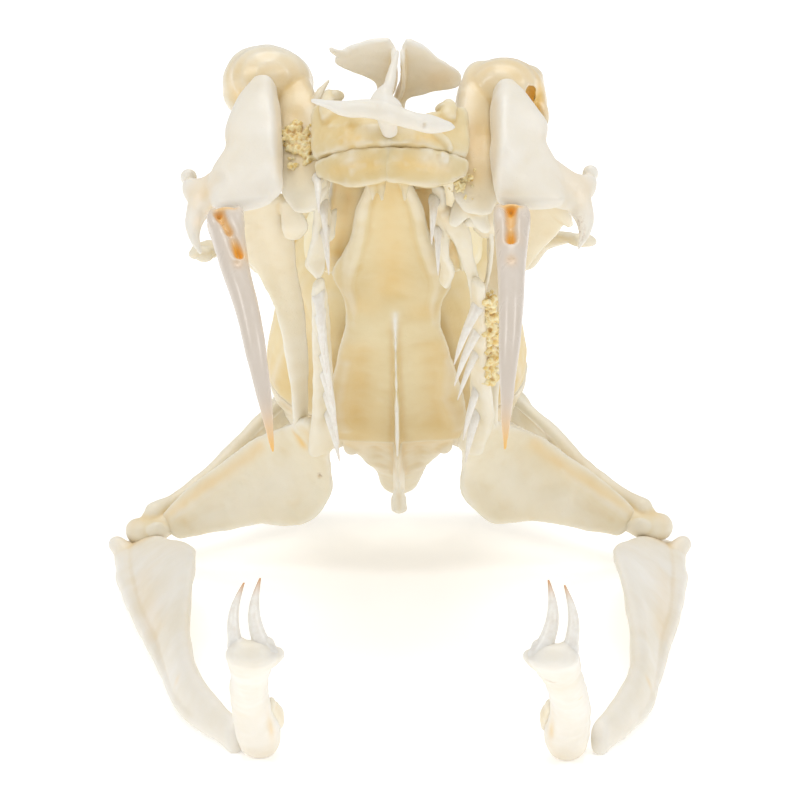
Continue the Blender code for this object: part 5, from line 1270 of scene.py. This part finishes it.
def make_pterygoid(side):
    """The toothed rail beside the palate that flares out to the jaw joint."""
    rows = {"left": ((26.0, -1.85, -0.25), (24.6, -2.2, -0.35), (23.0, -2.2, -0.5), (21.4, -2.3, -0.6),
                     (19.6, -2.3, -0.7), (17.8, -2.3, -0.8), (16.0, -2.2, -0.8)),
            "right": ((24.9, -1.8, -1.3), (22.8, -1.7, -1.3), (21.0, -1.3, -1.15), (17.7, -1.9, -0.9),
                      (15.6, -2.0, -0.8))}
    inset = {"left": 0.0, "right": 0.75}
    i = inset[side]
    rail = Bone("pterygoid", side)
    rail.blade([((3.5 + i, 26.7, -2.7), (4.0 + i, 26.7, -3.4), 0.45),
                ((3.35 + i, 24.0, -2.8), (4.05 + i, 24.0, -3.7), 0.6),
                ((3.3 + i, 19.0, -3.0), (4.15 + i, 19.0, -4.0), 0.7),
                ((3.3 + i, 15.0, -3.2), (4.35 + i, 15.0, -4.2), 0.75),
                ((3.3, 12.0, -3.4), (4.6, 12.2, -4.3), 0.8)])
    rail.blade([((4.9, 14.0, -3.2), (3.75, 13.8, -4.0), 0.7),
                ((6.0, 11.5, -2.1), (3.5, 10.8, -4.2), 0.65),
                ((7.6, 9.6, -1.6), (3.5, 9.2, -5.1), 0.65), ((9.2, 8.0, -1.9), (5.0, 7.4, -5.75), 0.6),
                ((10.6, 6.8, -2.3), (7.3, 6.3, -5.05), 0.6), ((11.9, 5.6, -2.8), (9.6, 5.3, -4.9), 0.6),
                ((12.9, 4.7, -3.5), (11.7, 4.4, -4.75), 0.55)])
    rail.fuse(RAIL)
    rail.carve(0.2, 0.35, (4.6, 13.0, -4.0), (4.9, 10.6, -4.5), (6.2, 8.8, -4.9), (9.0, 6.6, -4.8),
               facing=PALATE)
    rail.carve(0.22, 0.4, (5.3, 12.6, -3.1), (6.8, 10.4, -2.9), (9.0, 8.0, -3.0), (12.2, 5.0, -3.8),
               facing=PALATE)
    rail.carve(-0.22, 0.9, (6.4, 10.2, -3.4), (8.0, 8.2, -3.7), facing=PALATE)
    rail.carve(-0.2, 0.7, (4.6, 9.6, -4.6), (5.6, 8.2, -5.1), facing=PALATE)
    rail.carve(-0.12, 0.4, (9.6, 6.6, -4.0), (11.4, 5.3, -4.3), facing=PALATE)
    rail.weather(1.3, 0.06, 161 + len(side))
    rail.tint("pale", 0.25, 1.2, (6.5, 9.0, -4.6), (10.0, 6.0, -4.4))
    rail.tint("amber", 0.35, 0.4, (7.4, 9.6, -2.2), (8.9, 8.0, -2.6), (10.3, 6.8, -2.9),
              (12.4, 4.9, -3.7))
    if side == "left":
        rail.carve(-0.3, 0.13, (4.05, 9.9, -4.2), facing=PALATE)
        rail.tint("stain", 1.0, 0.14, (4.05, 10.0, -4.2))
        rail.tint("stain", 0.6, 0.08, (4.55, 9.4, -4.6))
        rail.tint("stain", 0.6, 0.08, (4.6, 9.0, -4.9))
        rail.tint("amber", 0.8, 0.35, (5.15, 12.2, -3.0), (4.9, 11.6, -3.2))
        rail.tint("amber", 0.4, 0.5, (4.1, 12.2, -3.6), (4.4, 13.4, -3.6))
    else:
        rail.tint("amber", 0.4, 0.6, (4.9, 25.4, -3.2), (5.0, 22.0, -3.4), (4.9, 18.6, -3.6))
        rail.tissue([(5.0, 25.6, -3.2), (5.15, 22.0, -3.5), (5.0, 18.4, -3.8)],
                    0.2, 0.17, 320, 9)
        rail.tint("stain", 0.3, 0.12, (4.3, 9.6, -4.6))
    teeth = []
    for f, back, lean in rows[side]:
        root = (3.75 + i, f, -3.3)
        teeth.append((root, (root[0] + lean, f + back, -5.75)))
    rail.teeth(teeth, 0.85, FRONT, "tooth", 7)
    rail.finish("cream")


def make_postorbital(side):
    """The slender bar behind the orbit, which hangs at its own height on each side."""
    z = {"left": -0.25, "right": 0.3}[side]
    bar = Bone("postorbital", side)
    bar.rod([(6.9, 16.4, 5.0 + z * 0.3, 0.7, 0.5), (7.7, 18.4, 4.6 + z * 0.5, 0.6, 0.36),
             (8.9, 20.4, 3.6 + z, 0.55, 0.32), (9.7, 21.8, 2.5 + z, 0.62, 0.34),
             (10.1, 22.6, 1.95 + z, 0.66, 0.34)])
    if side == "left":
        bar.rod([(9.5, 22.0, 2.5, 0.5, 0.3), (9.85, 22.3, 1.9, 0.72, 0.3), (9.85, 22.6, 1.4, 0.45, 0.26)],
                up=FRONT)
    bar.fuse(FINE)
    bar.weather(1.2, 0.05, 171)
    bar.finish("cream")


def make_supratemporal(side):
    """The strap on the braincase from which the quadrate hangs."""
    strap = Bone("supratemporal", side)
    strap.rod([(4.7, 9.6, 7.2, 0.7, 0.3), (5.2, 6.0, 7.3, 0.9, 0.36), (5.7, 2.5, 7.0, 1.0, 0.42),
               (5.9, -0.8, 6.3, 0.9, 0.42), (5.7, -2.4, 5.8, 0.6, 0.36)])
    strap.fuse(FINE)
    strap.carve(-0.12, 0.5, (5.2, 7.0, 7.7), (5.7, 1.0, 7.3), facing=ROOF)
    strap.weather(1.2, 0.05, 181)
    strap.finish("cream")


def make_quadrate(side):
    """The long hanger of the lower jaw, with the roller of the jaw joint at its end."""
    hanger = Bone("quadrate", side)
    hanger.blade([((5.8, -1.6, 6.9), (6.7, 1.9, 6.0), 0.8), ((7.4, -0.1, 4.1), (8.0, 2.4, 3.6), 0.75),
                  ((9.5, 1.4, 1.0), (9.7, 3.3, 0.6), 0.8), ((11.7, 2.4, -1.5), (11.8, 4.0, -1.9), 1.0),
                  ((13.4, 2.9, -3.1), (13.2, 4.9, -3.6), 1.3)])
    hanger.rod([(5.8, 1.9, 6.2, 0.4, 0.4), (8.0, 2.4, 3.6, 0.35, 0.35), (10.0, 3.3, 0.5, 0.35, 0.35),
                (12.0, 4.2, -2.0, 0.4, 0.4), (13.2, 4.7, -3.2, 0.5, 0.5)])
    hanger.rod([(12.3, 4.4, -3.7, 0.6, 0.6), (13.4, 4.1, -4.0, 0.8, 0.75), (14.1, 3.8, -3.9, 0.75, 0.7)])
    hanger.knob((13.0, 4.6, -4.3), (0.7, 0.5, 0.45))
    hanger.fuse(MEDIUM)
    hanger.carve(-0.25, 0.6, (8.6, 1.6, 2.3), (11.4, 3.2, -1.0), (12.8, 4.0, -2.6))
    hanger.weather(1.5, 0.06, 191)
    hanger.tint("amber", 0.2, 0.6, (9.0, 2.6, 1.6), (12.4, 4.2, -2.6))
    hanger.tint("amber", 0.3, 0.5, (12.6, 4.6, -3.6), (14.4, 4.6, -3.8))
    hanger.finish("cream")


def make_columella(side):
    """The thin rod of the ear."""
    stirrup = Bone("columella", side)
    stirrup.rod([(5.6, 3.2, 3.4, 0.28, 0.28), (6.2, 3.0, 3.15, 0.16, 0.16), (7.6, 2.6, 2.6, 0.14, 0.14),
                 (8.3, 2.3, 2.3, 0.18, 0.18)], up=FRONT)
    stirrup.fuse(SPLINT, relax=1)
    stirrup.finish("cream")


def make_compound(side):
    """The long bone of the lower jaw, which rests on the floor at its joint and at the bend."""
    beam = Bone("compound", side, jaw_frame(side), (-JAW_JOINT[0], -JAW_JOINT[1], 0.0), forward=1.0)
    beam.blade([((14.85, 12.6, 0.3), (13.2, 13.0, 1.4), 1.2),
                ((14.85, 10.6, 0.4), (12.6, 11.0, 1.9), 1.5),
                ((14.35, 5.8, 0.75), (11.2, 6.5, 3.0), 1.1), ((13.7, 0.6, 0.85), (10.75, 1.6, 4.0), 0.9),
                ((12.8, -3.6, 0.8), (10.9, -2.7, 3.5), 0.9), ((11.9, -8.8, 0.7), (10.9, -8.1, 2.5), 1.0),
                ((11.1, -13.0, 0.55), (10.4, -12.4, 2.3), 1.0),
                ((9.8, -16.5, 0.3), (9.3, -16.1, 2.0), 1.0),
                ((8.3, -18.9, -0.15), (8.3, -18.5, 1.7), 1.0)])
    beam.rod([(14.3, 13.2, 0.7, 0.65, 0.6), (14.6, 12.0, 0.7, 0.85, 0.75), (14.6, 10.0, 0.72, 0.75, 0.7),
              (14.5, 7.0, 0.75, 0.6, 0.6), (13.65, 0.6, 0.85, 0.5, 0.5), (12.8, -3.6, 0.8, 0.5, 0.5),
              (11.8, -9.0, 0.75, 0.5, 0.45), (10.9, -13.4, 0.6, 0.5, 0.45), (9.6, -16.6, 0.6, 0.45, 0.5),
              (8.4, -18.6, 0.7, 0.45, 0.55)])
    beam.rod([(14.9, 11.6, 1.1, 0.6, 0.6), (15.3, 11.9, 1.4, 0.5, 0.5)], up=FRONT)
    beam.rod([(13.0, 10.0, 1.6, 0.5, 0.4), (12.7, 7.0, 1.9, 0.3, 0.34), (12.5, 3.0, 1.9, 0.26, 0.3)])
    beam.cut_away(u=(BELOW_FLOOR, 0.0))
    beam.fuse(MEDIUM)
    beam.carve(-0.22, 0.8, (12.2, 4.6, 2.4), (12.0, 0.6, 2.7), (11.8, -2.6, 2.6), facing=JAW_TO_VIEWER)
    beam.carve(-0.16, 0.6, (11.9, -7.0, 1.6), (10.9, -12.0, 1.3), facing=JAW_TO_VIEWER)
    beam.weather(2.0, 0.06, 201)
    beam.tint("amber", 0.55, 0.3, (11.1, -12.2, 1.5))
    beam.tint("amber", 0.18, 0.8, (13.4, 5.0, 1.4), (12.9, 0.0, 1.6), (12.6, -4.0, 1.4))
    beam.tint("amber", 0.35, 0.7, (13.4, 11.2, 1.7), (14.6, 11.8, 1.6))
    beam.tint("pale", 0.4, 1.3, (11.4, 3.0, 3.2), (11.0, -2.0, 3.4))
    beam.finish("jaw")


def chin_bone(name, side):
    """A bone of the front of the lower jaw, which turns about the bend."""
    return Bone(name, side, chin_frame(side), (-JAW_BEND[0], -JAW_BEND[1], 0.0), forward=1.0)


def make_dentary(side):
    """The upturned end of the lower jaw, with two long teeth."""
    chin = chin_bone("dentary", side)
    chin.rod([(7.3, -17.6, 0.8, 0.6, 0.6), (7.05, -19.2, 0.75, 1.0, 0.9), (7.1, -20.6, 1.8, 1.15, 0.95),
              (7.35, -22.5, 3.6, 1.03, 0.85), (7.4, -25.5, 5.5, 0.95, 0.8), (7.3, -28.6, 7.3, 0.93, 0.8),
              (7.2, -31.2, 8.8, 1.1, 0.85), (7.1, -32.7, 9.6, 1.25, 0.7)],
             up=(0, 0.5, 0.86), power=2.2)
    for l in (7.75, 6.45):
        chin.rod([(l, -32.2, 9.2, 0.55, 0.55), (l, -32.5, 10.0, 0.46, 0.44)], up=FRONT)
    chin.rod([(6.2, -32.2, 9.2, 0.4, 0.4), (5.9, -32.3, 9.5, 0.34, 0.34)], up=FRONT)
    chin.cut_away(u=(BELOW_FLOOR, 0.0))
    chin.fuse(CHIN)
    chin.carve(-0.14, 0.2, (6.5, -20.4, 1.0), (6.35, -24.0, 4.0), (6.5, -26.5, 5.6),
               facing=CHIN_TO_VIEWER)
    chin.carve(-0.16, 0.35, (7.1, -33.2, 9.6), facing=ROOF)
    chin.carve(0.14, 0.5, (7.3, -22.0, 2.4), (7.4, -27.0, 5.6), facing=CHIN_TO_VIEWER)
    chin.weather(1.2, 0.05, 211 + len(side))
    chin.tint("amber", 0.35, 0.2, (6.5, -20.4, 1.0), (6.3, -24.0, 4.0))
    chin.tint("amber", 0.2, 1.2, (7.0, -19.4, 0.6))
    if side == "right":
        crack = ((7.6, -31.6, 8.4), (7.0, -31.2, 7.8), (6.6, -31.5, 8.1))
        chin.carve(-0.06, 0.06, *crack, facing=CHIN_TO_VIEWER)
        chin.tint("stain", 0.55, 0.07, *crack)
        chin.tint("amber", 0.7, 0.16, (8.2, -27.0, 5.6))
    chin.teeth([((7.75, -32.5, 9.75), (7.5, -30.9, 12.65)), ((6.42, -32.5, 9.75), (6.72, -30.8, 12.85))],
               1.12, (0.7, -0.7, 0), "lower tooth", 5)
    chin.finish("jaw")


def make_splenial(side):
    """The thin splint at the inner side of the bend."""
    strip = chin_bone("splenial", side)
    strip.blade([((6.05, -18.4, 1.1), (5.95, -19.2, 2.2), 0.4),
                 ((6.0, -20.6, 1.9), (6.0, -21.0, 3.2), 0.4),
                 ((6.35, -22.6, 3.4), (6.35, -22.8, 4.2), 0.35)])
    strip.fuse(SHEET, relax=2)
    strip.weather(0.8, 0.04, 221)
    strip.tint("amber", 0.15, 0.4, (5.9, -20.5, 2.0), (6.0, -23.0, 4.0))
    strip.finish("cream")


def make_both(*makers):
    """Make the bones of the left side, then those of the right."""
    for side in SIGN:
        for maker in makers:
            maker(side)


def make_studio():
    """White floor and light from all round, with the photo's soft light from above."""
    half = FLOOR_HALF
    corners = [(-half, -half, 0), (half, -half, 0), (half, half, 0), (-half, half, 0)]
    floor = mesh_object("floor", [(corners, [(0, 1, 2, 3)])])
    paper = Finish("white paper", 0.9, 0.0, 0.0, (1.0, 1.0, 1.0))
    colour = paper.blend(paper.noise(0.8, detail=3.0), (0.93, 0.93, 0.93), (0.95, 0.95, 0.95))
    floor.data.materials.append(paper.use(colour=colour))
    paper.shader.inputs["Emission Color"].default_value = WHITE
    paper.shader.inputs["Emission Strength"].default_value = FLOOR_GLOW

    world = bpy.data.worlds.new("white room")
    world.use_nodes = True
    background = world.node_tree.nodes["Background"].inputs
    background["Color"].default_value = WHITE
    background["Strength"].default_value = ROOM_LIGHT
    bpy.context.scene.world = world

    for name, place, size, power in LIGHTS:
        lamp = bpy.data.lights.new(name, "AREA")
        lamp.size = size
        lamp.energy = power
        lamp.color = LAMP_COLOUR
        obj = bpy.data.objects.new(name, lamp)
        obj.location = place
        aim = LAMP_AIM - Vector(place)
        obj.rotation_euler = aim.to_track_quat("-Z", "Y").to_euler()
        bpy.context.scene.collection.objects.link(obj)

    camera = bpy.data.objects.new("camera", bpy.data.cameras.new("camera"))
    camera.data.lens = CAMERA_LENS
    camera.data.sensor_width = CAMERA_SENSOR
    camera.data.clip_start = 0.01
    rise = math.radians(CAMERA_ELEVATION_DEG)
    back = Vector((0.0, -math.cos(rise), math.sin(rise))) * CAMERA_DISTANCE_MM
    camera.location = (CAMERA_TARGET_MM + back) * MM
    camera.rotation_euler = (math.pi / 2 - rise, 0.0, 0.0)
    bpy.context.scene.collection.objects.link(camera)
    bpy.context.scene.camera = camera
    bpy.context.scene.view_settings.view_transform = "Standard"


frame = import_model()
TOOTH_PATTERN = tooth_pattern()
TOOTH_TREE = tooth_tree()
FINISHES = {
    "white": bone_finish("white bone", "white", gloss=0.2, pores=0.35),
    "jaw": bone_finish("jaw bone", "white", roughness=0.45, gloss=0.08, pores=0.4),
    "cream": bone_finish("cream bone", "cream"),
    "cream_gloss": bone_finish("glossy cream bone", "cream", roughness=0.32, gloss=0.4, pores=0.45),
    "palate": bone_finish("palate bone", "palate"),
    "amber": bone_finish("amber bone", "amber", roughness=0.5, gloss=0.05),
    # The leaf and nasal finishes are painted lighter to stand in for light that their bones miss.
    "leaf": bone_finish("thin yellow bone", "leaf", glow=0.3),
    "nasal": bone_finish("nasal bone", "nasal", gloss=0.05),
    "fang": fang_finish(),
    "tooth": tooth_finish("tooth white", 0.15),
    "lower tooth": tooth_finish("lower tooth", 1.0),
    "tissue": tissue_finish(),
}
make_studio()
make_braincase_floor()
make_parietal()
make_occiput()
make_both(make_otic)
make_both(make_frontal)
make_both(make_prefrontal)
make_both(make_fang)
make_both(make_maxilla)
make_premaxilla()
make_both(make_nasal)
make_both(make_septomaxilla)
make_both(make_vomer)
make_palatines()
make_both(make_ectopterygoid)
make_both(make_pterygoid)
make_both(make_postorbital, make_supratemporal, make_quadrate, make_columella)
make_both(make_compound, make_dentary, make_splenial)
drop_object(TOOTH_PATTERN)
